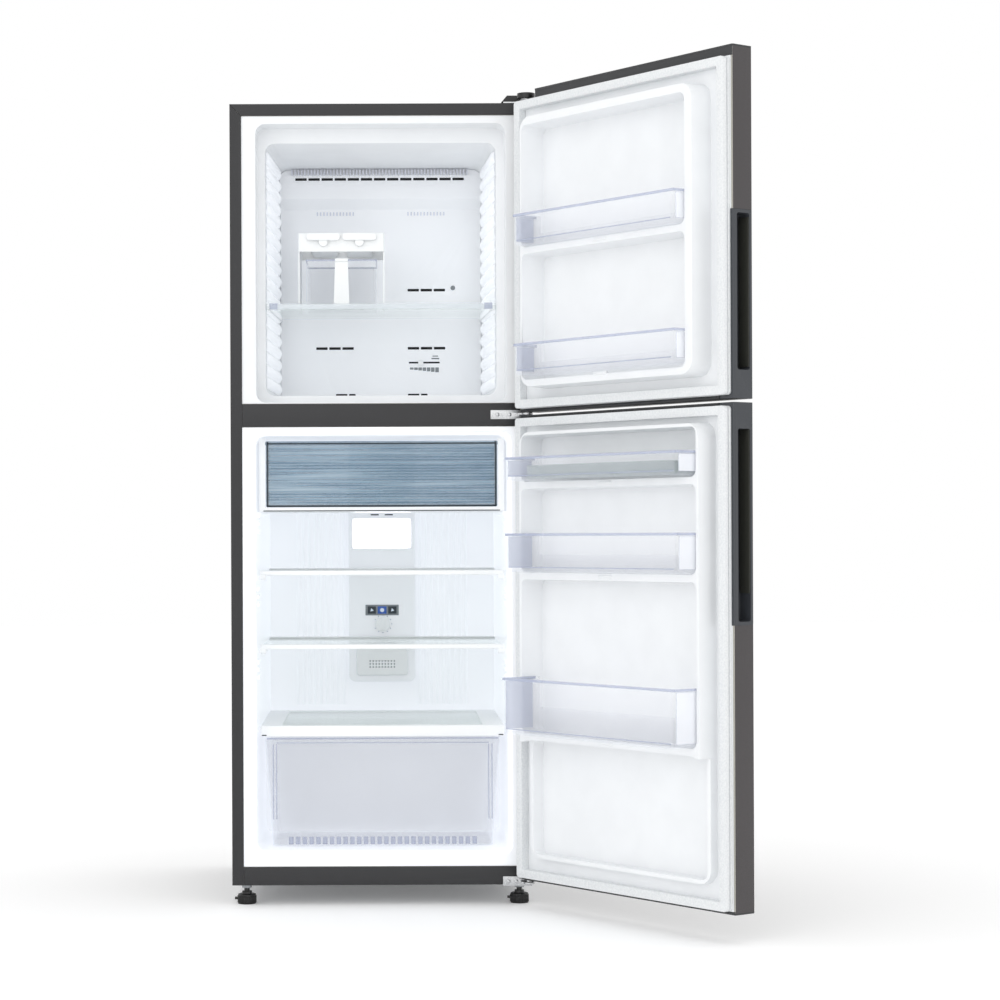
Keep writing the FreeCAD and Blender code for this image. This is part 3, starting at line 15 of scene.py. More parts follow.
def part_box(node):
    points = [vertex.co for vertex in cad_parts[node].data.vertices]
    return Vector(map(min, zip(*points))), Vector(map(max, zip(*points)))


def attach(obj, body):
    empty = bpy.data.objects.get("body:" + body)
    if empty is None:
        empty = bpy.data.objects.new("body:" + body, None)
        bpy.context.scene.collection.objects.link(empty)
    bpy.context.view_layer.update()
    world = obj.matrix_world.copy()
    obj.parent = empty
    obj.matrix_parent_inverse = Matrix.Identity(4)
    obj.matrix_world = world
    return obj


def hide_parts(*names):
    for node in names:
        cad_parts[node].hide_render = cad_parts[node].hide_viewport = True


bl_info = {
    "name": "Refrigerator looks",
    "version": (1, 0, 0),
    "blender": (4, 5, 0),
    "location": "View3D > Sidebar > Refrigerator",
    "description": "Dresses the refrigerator's frame in its enamel, linings, bins and glass",
    "category": "Object",
}

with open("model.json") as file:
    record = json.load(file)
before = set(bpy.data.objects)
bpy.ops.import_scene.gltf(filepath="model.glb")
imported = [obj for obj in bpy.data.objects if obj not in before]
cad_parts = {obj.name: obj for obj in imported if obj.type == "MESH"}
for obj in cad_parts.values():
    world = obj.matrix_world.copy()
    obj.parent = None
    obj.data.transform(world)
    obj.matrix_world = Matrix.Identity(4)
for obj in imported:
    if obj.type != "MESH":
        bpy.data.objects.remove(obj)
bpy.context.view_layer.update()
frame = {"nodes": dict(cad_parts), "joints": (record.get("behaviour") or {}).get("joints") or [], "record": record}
NODES = frame["nodes"]
BODY_OF = {node: body for body, nodes in frame["record"]["behaviour"]["bodies"].items() for node in nodes}
SLOT_OF = {part["node"]: part["material_slot"] for part in frame["record"]["subparts"]}
JOINTS = {joint["name"]: joint for joint in frame["joints"]}

MM = 0.001
DOOR_JOINT = JOINTS["fridge_door_hinge"]
HINGE = Vector((DOOR_JOINT["pos_m"][0], DOOR_JOINT["pos_m"][1], 0.0))
OPEN_TURN = math.radians(-DOOR_JOINT["range_deg"][0])

SHARP = math.radians(32)  # edges that fold more than this are shaded and rounded as edges
WELD = 2e-6  # corners closer than this are one corner
FLAT = math.radians(0.4)  # faces that differ by less than this are one face
ROOM_FOR_ROUND = 1.6  # a face this many radii wide can take a rounded edge
BAR_SEGMENTS = 2
LINE_ROUND = 0.3  # rounding of thin moulded lines, in millimetres


# ---------------------------------------------------------------- small helpers
def linear(hex_colour):
    """An sRGB hex colour as linear red, green and blue."""
    values = []
    for start in (1, 3, 5):
        value = int(hex_colour[start:start + 2], 16) / 255
        values.append(value / 12.92 if value <= 0.04045 else ((value + 0.055) / 1.055) ** 2.4)
    return tuple(values)


def add(tree, kind, settings=None, links=None):
    """Adds a node; settings go to its properties or sockets, links to its sockets."""
    node = tree.nodes.new(kind)
    for name, value in (settings or {}).items():
        if isinstance(name, str) and hasattr(node, name):
            setattr(node, name, value)
        else:
            node.inputs[name].default_value = value
    for name, source in (links or {}).items():
        tree.links.new(source, node.inputs[name])
    return node


def rgba(hex_colour):
    return (*linear(hex_colour), 1.0)


def new_material(name, **sockets):
    """A material with a Principled shader whose sockets are set by name."""
    material = bpy.data.materials.new(name)
    material.use_nodes = True
    shader = material.node_tree.nodes["Principled BSDF"]
    for socket, value in sockets.items():
        shader.inputs[socket.replace("_", " ")].default_value = value
    return material, material.node_tree, shader


def mottled(tree, shader, low, high, grain_mm, bump_mm=0.0, strength=0.2):
    """Two close colours mixed by fine noise, with a shallow bump of the same grain."""
    place = add(tree, "ShaderNodeTexCoord").outputs["Object"]
    noise = add(tree, "ShaderNodeTexNoise", {"Scale": 1 / (grain_mm * MM), "Detail": 3.0}, {"Vector": place})
    ramp = add(tree, "ShaderNodeValToRGB", None, {"Fac": noise.outputs["Fac"]})
    ramp.color_ramp.elements[0].position = 0.35
    ramp.color_ramp.elements[1].position = 0.65
    ramp.color_ramp.elements[0].color = rgba(low)
    ramp.color_ramp.elements[1].color = rgba(high)
    tree.links.new(ramp.outputs["Color"], shader.inputs["Base Color"])
    if bump_mm:
        bump = add(
            tree,
            "ShaderNodeBump",
            {"Strength": strength, "Distance": bump_mm * MM},
            {"Height": noise.outputs["Fac"]},
        )
        tree.links.new(bump.outputs["Normal"], shader.inputs["Normal"])
    return noise


# ---------------------------------------------------------------- materials
def case_enamel():
    # Textured powder enamel on steel: fine orange peel that breaks up the highlight.
    material, tree, shader = new_material("powder_enamel_charcoal", Roughness=0.42, IOR=1.5)
    mottled(tree, shader, "#1F1F21", "#2D2D2F", 1.1, 0.12, 0.5)
    return material


def door_enamel():
    # Satin enamel on pre-coated steel: warm grey with a soft vertical sheen.
    material, tree, shader = new_material("satin_enamel_warm_grey", Metallic=0.35, Roughness=0.38)
    mottled(tree, shader, "#454243", "#514E4F", 0.9, 0.03, 0.2)
    return material


def moulded_plastic(name, low, high, roughness=0.35, grain_mm=0.7, bump_mm=0.02, glow=0.0):
    # Moulded, sprayed or printed finishes: one even colour with the faint grain of the mould or the coat.
    material, tree, shader = new_material(name, Roughness=roughness, IOR=1.53)
    mottled(tree, shader, low, high, grain_mm, bump_mm, 0.2)
    # A glow here is painted light: it brightens a piece that is no lamp.
    shader.inputs["Emission Color"].default_value = rgba(high)
    shader.inputs["Emission Strength"].default_value = glow
    return material


def vacuum_formed(name="vacuum_formed_polystyrene", glow=0.0):
    # Vacuum-formed polystyrene sheet: white, glossy, with long gentle waves from the mould. The glow is
    # painted light: it brightens the lining evenly, though the sheet is no lamp.
    material, tree, shader = new_material(name, Roughness=0.28, IOR=1.59)
    mottled(tree, shader, "#EEF0F2", "#F1F3F5", 60.0, 0.04, 0.05)
    shader.inputs["Emission Color"].default_value = rgba("#F2F5FC")
    shader.inputs["Emission Strength"].default_value = glow
    return material


def clear_polystyrene(name="clear_polystyrene", tint="#EEF1F9", face=0.04, edge=0.36, roughness=0.05):
    # Clear moulded polystyrene: almost unseen face on, faintly violet where the wall turns away.
    material, tree, shader = new_material(name, Roughness=roughness, IOR=1.59)
    shader.inputs["Base Color"].default_value = rgba(tint)
    facing = add(tree, "ShaderNodeLayerWeight", {"Blend": 0.35}).outputs["Facing"]
    place = add(tree, "ShaderNodeTexCoord").outputs["Object"]
    haze = add(tree, "ShaderNodeTexNoise", {"Scale": 1 / (60 * MM), "Detail": 1.0}, {"Vector": place})
    spread = add(tree, "ShaderNodeMapRange", {"To Min": face, "To Max": edge}, {"Value": facing})
    cloud = add(tree, "ShaderNodeMapRange", {"To Min": 0.92, "To Max": 1.08}, {"Value": haze.outputs["Fac"]})
    factors = {0: spread.outputs[0], 1: cloud.outputs[0]}
    alpha = add(tree, "ShaderNodeMath", {"operation": "MULTIPLY"}, factors)
    tree.links.new(alpha.outputs[0], shader.inputs["Alpha"])
    # The faint glow is painted light that brightens the clear plastic and glass, which are no lamps.
    shader.inputs["Emission Color"].default_value = rgba(tint)
    shader.inputs["Emission Strength"].default_value = 0.12
    return material


def tempered_glass():
    # Tempered float glass: clear with the green cast of its iron, stronger at glancing angles.
    return clear_polystyrene("tempered_float_glass", "#DCE6E4", 0.1, 0.42, 0.02)


def tinted_acrylic():
    # Extruded tinted acrylic: blue-grey and see-through, with fine lines along it from the die.
    material, tree, shader = new_material("tinted_acrylic_blue", Roughness=0.1, IOR=1.49)
    place = add(tree, "ShaderNodeTexCoord").outputs["Object"]
    stretch = add(tree, "ShaderNodeMapping", {"Scale": (3.0, 1.0, 130.0)}, {"Vector": place})
    streak = add(tree, "ShaderNodeTexNoise", {"Scale": 1.0, "Detail": 3.0}, {"Vector": stretch.outputs[0]})
    ramp = add(tree, "ShaderNodeValToRGB", None, {"Fac": streak.outputs["Fac"]})
    ramp.color_ramp.elements[0].position = 0.44
    ramp.color_ramp.elements[1].position = 0.74
    ramp.color_ramp.elements[0].color = rgba("#668CA5")
    ramp.color_ramp.elements[1].color = rgba("#B4CCD9")
    tree.links.new(ramp.outputs["Color"], shader.inputs["Base Color"])
    veil = add(tree, "ShaderNodeMapRange", {"To Min": 0.58, "To Max": 0.42}, {"Value": streak.outputs["Fac"]})
    tree.links.new(veil.outputs[0], shader.inputs["Alpha"])
    return material


def frosted_lamp():
    # Frosted polycarbonate lens, lit from behind by the lamp.
    material, tree, shader = new_material("frosted_polycarbonate", Roughness=0.4, IOR=1.58)
    noise = mottled(tree, shader, "#F4F6F6", "#FFFFFF", 6.0)
    shader.inputs["Emission Color"].default_value = rgba("#FFFFFF")
    glow = add(tree, "ShaderNodeMapRange", {"To Min": 2.0, "To Max": 2.6}, {"Value": noise.outputs["Fac"]})
    tree.links.new(glow.outputs[0], shader.inputs["Emission Strength"])
    return material


def zinc_plate():
    # Zinc-plated pressed steel: bright, with fine drawn lines and a soft bloom.
    material, tree, shader = new_material("zinc_plated_steel", Metallic=1.0, Roughness=0.32)
    mottled(tree, shader, "#B9BABC", "#D6D7D8", 1.5, 0.02, 0.3)
    return material


def soft_vinyl(name, low, high):
    # Extruded soft vinyl: matt, slightly greasy, a little darker in its folds.
    material, tree, shader = new_material(name, Roughness=0.55, IOR=1.52)
    mottled(tree, shader, low, high, 3.0, 0.05, 0.2)
    return material


def galvanised():
    # Hot-dip galvanised sheet: grey with a broad, faint spangle.
    material, tree, shader = new_material("galvanised_sheet", Metallic=1.0, Roughness=0.48)
    mottled(tree, shader, "#8C8F92", "#A6A9AC", 9.0)
    return material


MATERIALS = {}


def build_materials():
    """Makes every finish once, under the name that the operators use."""
    MATERIALS.update(
        case_paint=case_enamel(),
        door_paint=door_enamel(),
        bare_steel=galvanised(),
        hinge_steel=zinc_plate(),
        # Stoved enamel on the compressor's shell: black, smooth and a little wavy.
        compressor_paint=moulded_plastic("stoved_black_enamel", "#151516", "#1D1D1E", 0.35),
        # Foam that rose in the wall: matt, with a coarse skin of burst cells.
        foam=moulded_plastic("rigid_polyurethane_foam", "#A7A59D", "#B3B1A9", 0.8, 1.2, 0.3),
        liner_white=vacuum_formed(),
        # The glowing copy of the lining: painted light that brightens the walls.
        liner_lit=vacuum_formed("vacuum_formed_polystyrene_painted_glow", 0.26),
        # Covers and trims: white with a satin face; the covers glow a little, which is painted light that
        # brightens them.
        cover_white=moulded_plastic("moulded_abs_white_painted_glow", "#F0F2F5", "#F5F7FA", 0.38, glow=0.12),
        trim_white=moulded_plastic("moulded_polypropylene_white", "#F6F8F9", "#FBFCFC", 0.3),
        # Grips and door caps: dark, low in gloss, so that seams stay quiet.
        grip_grey=moulded_plastic("moulded_abs_slate", "#33363B", "#3D4045", 0.42),
        cap_grey=moulded_plastic("moulded_abs_charcoal", "#2B2C2E", "#343537", 0.4),
        # Feet and rollers: near black, slightly waxy.
        black_plastic=moulded_plastic("moulded_nylon_black", "#0C0C0D", "#161617", 0.35),
        # Gaskets and the lead's gland.
        gasket_grey=soft_vinyl("extruded_vinyl_pale", "#DDE0E2", "#E8EAEB"),
        gland_rubber=soft_vinyl("moulded_rubber_black", "#101010", "#181818"),
        shelf_glass=tempered_glass(),
        clear_plastic=clear_polystyrene(),
        flap_blue=tinted_acrylic(),
        lens_white=frosted_lamp(),
        coil_aluminium=galvanised(),
        # Edges, rims and hazed walls of clear mouldings, where the light runs along the sheet.
        edge_violet=clear_polystyrene("clear_polystyrene_edge", "#B4BBD0", 0.45, 0.7, 0.08),
        glass_edge=clear_polystyrene("tempered_glass_edge", "#DCE2E7", 0.55, 0.8, 0.05),
        clear_egg=clear_polystyrene("clear_polystyrene_smoke", "#AEB9BA", 0.22, 0.7, 0.05),
        haze_white=clear_polystyrene("clear_polystyrene_haze", "#F2F4F8", 0.6, 0.85, 0.1),
        # Painted shade: the fins in shade, the strip in each grip's dark pocket and the black bars behind the
        # slots.
        louvre_white=moulded_plastic("painted_shade_fin_lavender", "#D9DBE6", "#E2E4EC", 0.4),
        grip_olive=moulded_plastic("painted_grip_shade_olive", "#2E2F2A", "#383933", 0.5),
        duct_black=moulded_plastic("painted_slot_shade_black", "#07080A", "#0E0F12", 0.7),
        # Printed scales, the grey dots that are painted shade in the vent holes, the small lit tiles and the dark
        # seams between mouldings.
        print_grey=moulded_plastic("pad_printed_and_hole_shade_grey", "#7E8488", "#8B9195", 0.5),
        icon_blue=moulded_plastic("moulded_acrylic_blue", "#2B55A8", "#3A66BC", 0.2),
        icon_pale=moulded_plastic("moulded_acrylic_pale", "#DCE9FA", "#EAF2FC", 0.2),
        seam_dark=moulded_plastic("moulded_abs_ink", "#1C2A33", "#26343D", 0.3),
    )


# ---------------------------------------------------------------- mesh helpers
def finish_piece(name, mesh_from, body, slot, material=None, replaced=()):
    """Makes the object of a bmesh and says what it rides on, replaces and is finished in."""
    mesh = bpy.data.meshes.new(name)
    mesh_from.to_mesh(mesh)
    mesh_from.free()
    piece = bpy.data.objects.new(name, mesh)
    bpy.context.scene.collection.objects.link(piece)
    for one in material if isinstance(material, (list, tuple)) else [material or slot]:
        mesh.materials.append(MATERIALS[one])
    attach(piece, body)
    if replaced:
        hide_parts(*replaced)
    return piece


def shade(work):
    """Smooth shading that stops at sharp edges."""
    for face in work.faces:
        face.smooth = True
    for edge in work.edges:
        edge.smooth = len(edge.link_faces) == 2 and edge.calc_face_angle(0.0) < SHARP


def reach(face, edge):
    """How far a face extends from one of its edges."""
    start, direction = edge.verts[0].co, (edge.verts[1].co - edge.verts[0].co).normalized()
    return max(((v.co - start) - direction * (v.co - start).dot(direction)).length for v in face.verts)


def bevel(work, edges, radius, segments):
    bmesh.ops.bevel(
        work, geom=edges, offset=radius, segments=segments, profile=0.5, affect="EDGES", clamp_overlap=True
    )


def round_edges(work, radius, segments):
    """Rounds the sharp edges whose faces are both wide enough for the radius."""
    picked = []
    for edge in work.edges:
        if len(edge.link_faces) != 2 or edge.calc_face_angle(0.0) < SHARP:
            continue
        if all(reach(face, edge) > ROOM_FOR_ROUND * radius for face in edge.link_faces):
            picked.append(edge)
    if picked:
        bevel(work, picked, radius, segments)


def node_mesh(node):
    """A clean bmesh of a CAD node: shared corners welded and flat faces joined."""
    work = bmesh.new()
    work.from_mesh(NODES[node].data)
    bmesh.ops.remove_doubles(work, verts=work.verts, dist=WELD)
    bmesh.ops.dissolve_limit(work, angle_limit=FLAT, verts=work.verts, edges=work.edges, delimit={"NORMAL"})
    return work


def rounded_node(node, radius_mm, segments=3, material=None):
    """Stands for a CAD node with the same shape and softened edges."""
    work = node_mesh(node)
    round_edges(work, radius_mm * MM, segments)
    shade(work)
    return finish_piece(node + "_finish", work, BODY_OF[node], SLOT_OF[node], material, [node])


def block(work, low, high, index, radius):
    """Adds a box between two corners, with rounded edges if asked."""
    low, high = Vector(low), Vector(high)
    made = bmesh.ops.create_cube(work, size=1.0)["verts"]
    for vert in made:
        vert.co = Vector(low[i] + (vert.co[i] + 0.5) * (high[i] - low[i]) for i in range(3))
    faces = {face for vert in made for face in vert.link_faces}
    for face in faces:
        face.material_index = index
    if radius:
        bevel(work, list({edge for face in faces for edge in face.edges}), radius, BAR_SEGMENTS)


def turned(work, profile, centre, axis, count=32, index=0):
    """Adds a solid of revolution: profile is a list of (radius, height along the axis)."""
    axis = Vector(axis).normalized()
    side = axis.orthogonal().normalized()
    other = axis.cross(side)
    centre = Vector(centre)
    rings = []
    for radius, height in profile:
        ring = []
        for step in range(count):
            angle = 2 * math.pi * step / count
            out = side * math.cos(angle) + other * math.sin(angle)
            ring.append(work.verts.new(centre + axis * height + out * radius))
        rings.append(ring)
    for below, above in zip(rings, rings[1:]):
        for step in range(count):
            after = (step + 1) % count
            face = work.faces.new((below[step], below[after], above[after], above[step]))
            face.material_index = index
    for ring, flip in ((rings[0], True), (rings[-1], False)):
        face = work.faces.new(list(reversed(ring)) if flip else ring)
        face.material_index = index


def hinge_turn(angle):
    """A turn about the line that both doors hang on."""
    return Matrix.Translation(HINGE) @ Matrix.Rotation(angle, 4, "Z") @ Matrix.Translation(-HINGE)


def swing_open(work):
    """Swings a bmesh drawn with the doors closed to its rest place."""
    bmesh.ops.transform(work, matrix=hinge_turn(OPEN_TURN), verts=work.verts)


def closed_box(node):
    """Lowest and highest corner of a door node with its door closed."""
    turn = hinge_turn(-OPEN_TURN)
    points = [turn @ vert.co for vert in NODES[node].data.vertices]
    low = Vector(min(p[i] for p in points) for i in range(3))
    high = Vector(max(p[i] for p in points) for i in range(3))
    return low, high


# ---------------------------------------------------------------- sizes and colours a user may change
def hex_property(name, description, default):
    return bpy.props.StringProperty(name=name, description=description, default=default, maxlen=7)


def length_property(name, description, default):
    return bpy.props.FloatProperty(
        name=name, description=description, default=default, min=0.0, unit="LENGTH"
    )


class FridgeCabinetSettings(bpy.types.PropertyGroup):
    """Sizes of the case, its linings and what is fixed in them."""

    edge_round: length_property("Edge rounding", "Radius of moulded edges", 1.2 * MM)
    sheet_round: length_property("Sheet rounding", "Radius of folded sheet steel", 0.7 * MM)
    flute_pitch: length_property("Flute pitch", "Spacing of the flutes of the back wall", 11.5 * MM)
    flute_height: length_property("Flute height", "How far a flute stands proud", 1.4 * MM)
    louvre_pitch: length_property("Louvre pitch", "Spacing of the fins of the air outlet", 6.2 * MM)
    notch_pitch: length_property("Notch pitch", "Spacing of the moulded shelf notches", 23.0 * MM)


class FridgeDoorSettings(bpy.types.PropertyGroup):
    """Sizes of the door trims and bins."""

    bead: length_property("Rim bead", "Height of the thickened rim of a bin", 4.5 * MM)
    latch_width: length_property("Latch width", "Width of the latch bump under a bin", 34.0 * MM)
    flap_rib_pitch: length_property("Flap rib pitch", "Spacing of the ribs of the tinted flap", 5.2 * MM)
    drawer_rib_pitch: length_property("Drawer rib pitch", "Spacing of the foot ribs of the drawer", 12.5 * MM)


class FridgeStageSettings(bpy.types.PropertyGroup):
    """The floor, the lights and the camera."""

    floor_colour: hex_property("Floor colour", "sRGB hex colour of the studio floor", "#FBFBFB")
    floor_glow: bpy.props.FloatProperty(
        name="Floor glow", description="Light that the paper gives back", default=0.12, min=0.0
    )
    ambient: bpy.props.FloatProperty(
        name="Ambient light", description="Strength of the white surroundings", default=1.0, min=0.0
    )
    key_power: bpy.props.FloatProperty(
        name="Key light", description="Power of the large front panel", default=16.0, min=0.0, unit="POWER"
    )
    camera_distance: length_property("Camera distance", "Camera to the front of the case", 4.49)
    camera_height: length_property("Camera height", "Camera above the floor", 0.6675)
    camera_roll: bpy.props.FloatProperty(
        name="Camera roll",
        description="Tilt of the camera about its line of sight",
        default=math.radians(0.224),
        subtype="ANGLE",
    )
    lens: bpy.props.FloatProperty(name="Lens", description="Focal length on a 36 mm sensor", default=89.46)


# ---------------------------------------------------------------- the cabinet
def mm(*values):
    return [value * MM for value in values]


def cad_box(node):
    """Lowest and highest corner of a CAD node in millimetres."""
    low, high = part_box(node)
    return low / MM, high / MM


def bar(work, x, y, z, index=0, radius=0.0):
    """A box given by its ranges in millimetres."""
    block(work, mm(x[0], y[0], z[0]), mm(x[1], y[1], z[1]), index, radius * MM)


def keep_node(node):
    """Leaves a CAD node as it is and gives it its finish."""
    target = NODES[node]
    target.data.materials.clear()
    target.data.materials.append(MATERIALS[SLOT_OF[node]])


class FRIDGE_OT_case(bpy.types.Operator):
    """Dress the painted case, its rails, the back sheet and the base plate"""

    bl_idname = "fridge.case"
    bl_label = "Case"

    def execute(self, context):
        sheet = context.scene.fridge_cabinet.sheet_round / MM
        for node in ("left_side_panel", "right_side_panel", "top_panel"):
            rounded_node(node, sheet)
        for node in ("bottom_rail", "center_rail"):
            rounded_node(node, sheet / 2)
        for node in ("back_panel", "base_plate", "cabinet_foam"):
            keep_node(node)
        return {"FINISHED"}


FIN_SHARE = 0.4  # of the pitch of a comb


def comb(work, x0, x1, pitch, y, z):
    """A row of upright fins between two places."""
    count = max(1, round((x1 - x0) / pitch))
    step = (x1 - x0) / count
    for number in range(count):
        left = x0 + number * step
        bar(work, (left, left + FIN_SHARE * step), y, z)


def disc(work, centre, radius, depth, index=0, count=32, edge=0.4):
    """A round button whose back is at the centre and whose front stands towards the viewer."""
    profile = [(radius, 0.0), (radius, depth - edge), (radius - edge, depth)]
    turned(work, [(r * MM, h * MM) for r, h in profile], mm(*centre), (0, -1, 0), count, index)


# Freezer cover and walls, in millimetres.
COVER_STEP = 16.0  # header to the face below it
SLOT_ENDS_AND_HEIGHTS = (
    (52, 129, 221),
    (-126, -49, 108),
    (52, 129, 108),
    (-88, -50, 17),
    (52, 90, 17),
    (54, 114, 80),
)
MOUTH_HALF_WIDTH, MOUTH_Y, WALL_DRAFT = 211.0, 56, 0.055
NOTCH_COLUMN = 440
NOTCH_FRONT = 72
NOTCH_DEPTHS = (NOTCH_FRONT, 84, 300)
NOTCH_SCALLOP = ((0.0, 0.0), (4.0, 2.0), (7.0, 8.0), (7.0, 14.0), (4.0, 20.0), (0.0, 22.0))


class FRIDGE_OT_freezer_lining(bpy.types.Operator):
    """Dress the freezer's lining and rear cover: louvres, painted shade behind the slots and shelf notches"""

    bl_idname = "fridge.freezer_lining"
    bl_label = "Freezer lining"

    def execute(self, context):
        settings = context.scene.fridge_cabinet
        edge = settings.edge_round / MM
        rounded_node("freezer_liner", 3.0, 4, "liner_white")
        rounded_node("evaporator_cover", edge)
        low, high = cad_box("evaporator_cover")
        header, rear, floor = low.y, low.y + COVER_STEP, low.z
        # Black bars behind the header louvre and the cover's slots: painted shade that makes the slots look dark.
        shade_bars = bmesh.new()
        bar(shade_bars, (-169, 169), (header + 2.4, header + 4.0), (floor + 430, floor + 440))
        for x0, x1, z in SLOT_ENDS_AND_HEIGHTS:
            bar(shade_bars, (x0 - 4, x1 + 4), (rear + 2.4, rear + 4.0), (floor + z - 5, floor + z + 5))
        finish_piece("freezer_slot_painted_shade", shade_bars, "cabinet", "black_plastic", "duct_black")
        # The fins take a darker lavender copy of the cover's white: painted shade.
        fins = bmesh.new()
        pitch = settings.louvre_pitch / MM
        comb(fins, -172, 172, pitch, (header - COVER_STEP, header - 1), (high.z - 11, high.z - 1))
        for x0, x1 in ((-124, -48), (52, 128)):
            comb(fins, x0, x1, pitch, (rear - 1.2, rear + 0.5), (floor + 365.5, floor + 372.5))
        shade(fins)
        finish_piece("freezer_louvres", fins, "cabinet", "cover_white", "louvre_white")
        marks = bmesh.new()
        skin = (rear - 0.25, rear + 0.2)
        disc(marks, (140, rear + 0.3, floor + 224.5), 4.5, 1.6)
        for number in range(7):
            left = 56 + 8.2 * number
            bar(marks, (left, left + 7.0), skin, (floor + 66 - 0.9 * number, floor + 70))
        bar(marks, (98, 113), skin, (floor + 86, floor + 88.5))
        bar(marks, (100, 111), skin, (floor + 91, floor + 93))
        shade(marks)
        finish_piece("freezer_control_marks", marks, "cabinet", "cover_white", "print_grey")
        # The notches take the glowing copy of the lining: painted light.
        finish_piece("freezer_wall_notches", self.notches(settings), "cabinet", "liner_white", "liner_lit")
        return {"FINISHED"}

    @staticmethod
    def notches(settings):
        """Two columns of moulded scallops up the side walls."""
        work = bmesh.new()
        pitch = settings.notch_pitch / MM
        low = cad_box("evaporator_cover")[0]
        for side in (-1, 1):
            for number in range(int(NOTCH_COLUMN / pitch)):
                z = low.z + 14 + number * pitch
                rings = []
                for out, up in NOTCH_SCALLOP:
                    line = []
                    for y in NOTCH_DEPTHS:
                        wall = side * (MOUTH_HALF_WIDTH - WALL_DRAFT * (y - MOUTH_Y) + 0.6)
                        swell = 0.25 if y == NOTCH_FRONT else 1.0
                        line.append(work.verts.new(mm(wall - side * out * swell, y, z + up)))
                    rings.append(line)
                for one, two in zip(rings, rings[1:]):
                    for i in range(2):
                        work.faces.new((one[i], one[i + 1], two[i + 1], two[i]))
        bmesh.ops.recalc_face_normals(work, faces=work.faces)
        for face in work.faces:
            face.smooth = True
        return work


# Fridge back wall and side walls, in millimetres.
FLUTES_PER_SIDE, FIRST_FLUTE, FLUTE_ENDS = 9, 76, (330.0, 846.0)
NOTCH_HEIGHTS, NOTCH_STEP, WALL_AT_NOTCH = (404, 538, 672), 14, 227.2


class FRIDGE_OT_fridge_lining(bpy.types.Operator):
    """Dress the refrigerator compartment's lining: flutes of the back wall and shelf notches"""

    bl_idname = "fridge.fridge_lining"
    bl_label = "Fridge lining"

    def execute(self, context):
        settings = context.scene.fridge_cabinet
        # The lining, its flutes and its notches take the glowing copy of the sheet: painted light.
        rounded_node("fridge_liner", 2.0, 3, "liner_lit")
        back = cad_box("fridge_duct")[1].y + 0.3
        flutes = bmesh.new()
        pitch, height = settings.flute_pitch / MM, settings.flute_height / MM
        shoulder = height * 0.7
        profile = ((-0.4, -3.6), (shoulder, -2.0), (height, 0.0), (shoulder, 2.0), (-0.4, 3.6))
        for side in (-1, 1):
            for number in range(FLUTES_PER_SIDE):
                x = side * (FIRST_FLUTE + number * pitch)
                rings = []
                for z in FLUTE_ENDS:
                    rings.append([flutes.verts.new(mm(x + across, back - out, z)) for out, across in profile])
                loft_closed(flutes, rings)
        shade(flutes)
        finish_piece("fridge_back_flutes", flutes, "cabinet", "liner_white", "liner_lit")
        notches = bmesh.new()
        for side in (-1, 1):
            for z in NOTCH_HEIGHTS:
                for number in range(3):
                    low = z + NOTCH_STEP * number
                    x = sorted((side * (WALL_AT_NOTCH + 1.2), side * (WALL_AT_NOTCH - 2.6)))
                    bar(notches, x, (62, 96), (low, low + 7), 0, 1.2)
        shade(notches)
        finish_piece("fridge_wall_notches", notches, "cabinet", "liner_white", "liner_lit")
        return {"FINISHED"}


def loft_closed(work, rings):
    """Joins rings of the same length into a closed solid with flat ends."""
    count = len(rings[0])
    faces = []
    for below, above in zip(rings, rings[1:]):
        for step in range(count):
            after = (step + 1) % count
            faces.append(work.faces.new((below[step], below[after], above[after], above[step])))
    faces.append(work.faces.new(list(reversed(rings[0]))))
    faces.append(work.faces.new(rings[-1]))
    bmesh.ops.recalc_face_normals(work, faces=faces)


# Marks on the air duct, in millimetres from its middle line.
PLATE_HALF = 33
TILES = ((-29, -12, 1), (-9, 9, 2), (12, 29, 1))  # left end, right end and finish
TICKS, TICK_STEP, TICK_RING = 11, 30, 17.5  # the step is in degrees
SURROUND_HALF, SURROUND_INNER, SURROUND_GAP = 62, 57.2, 0.6
VENT_ROWS, VENT_COLUMNS, VENT_PITCH = 3, 9, 6


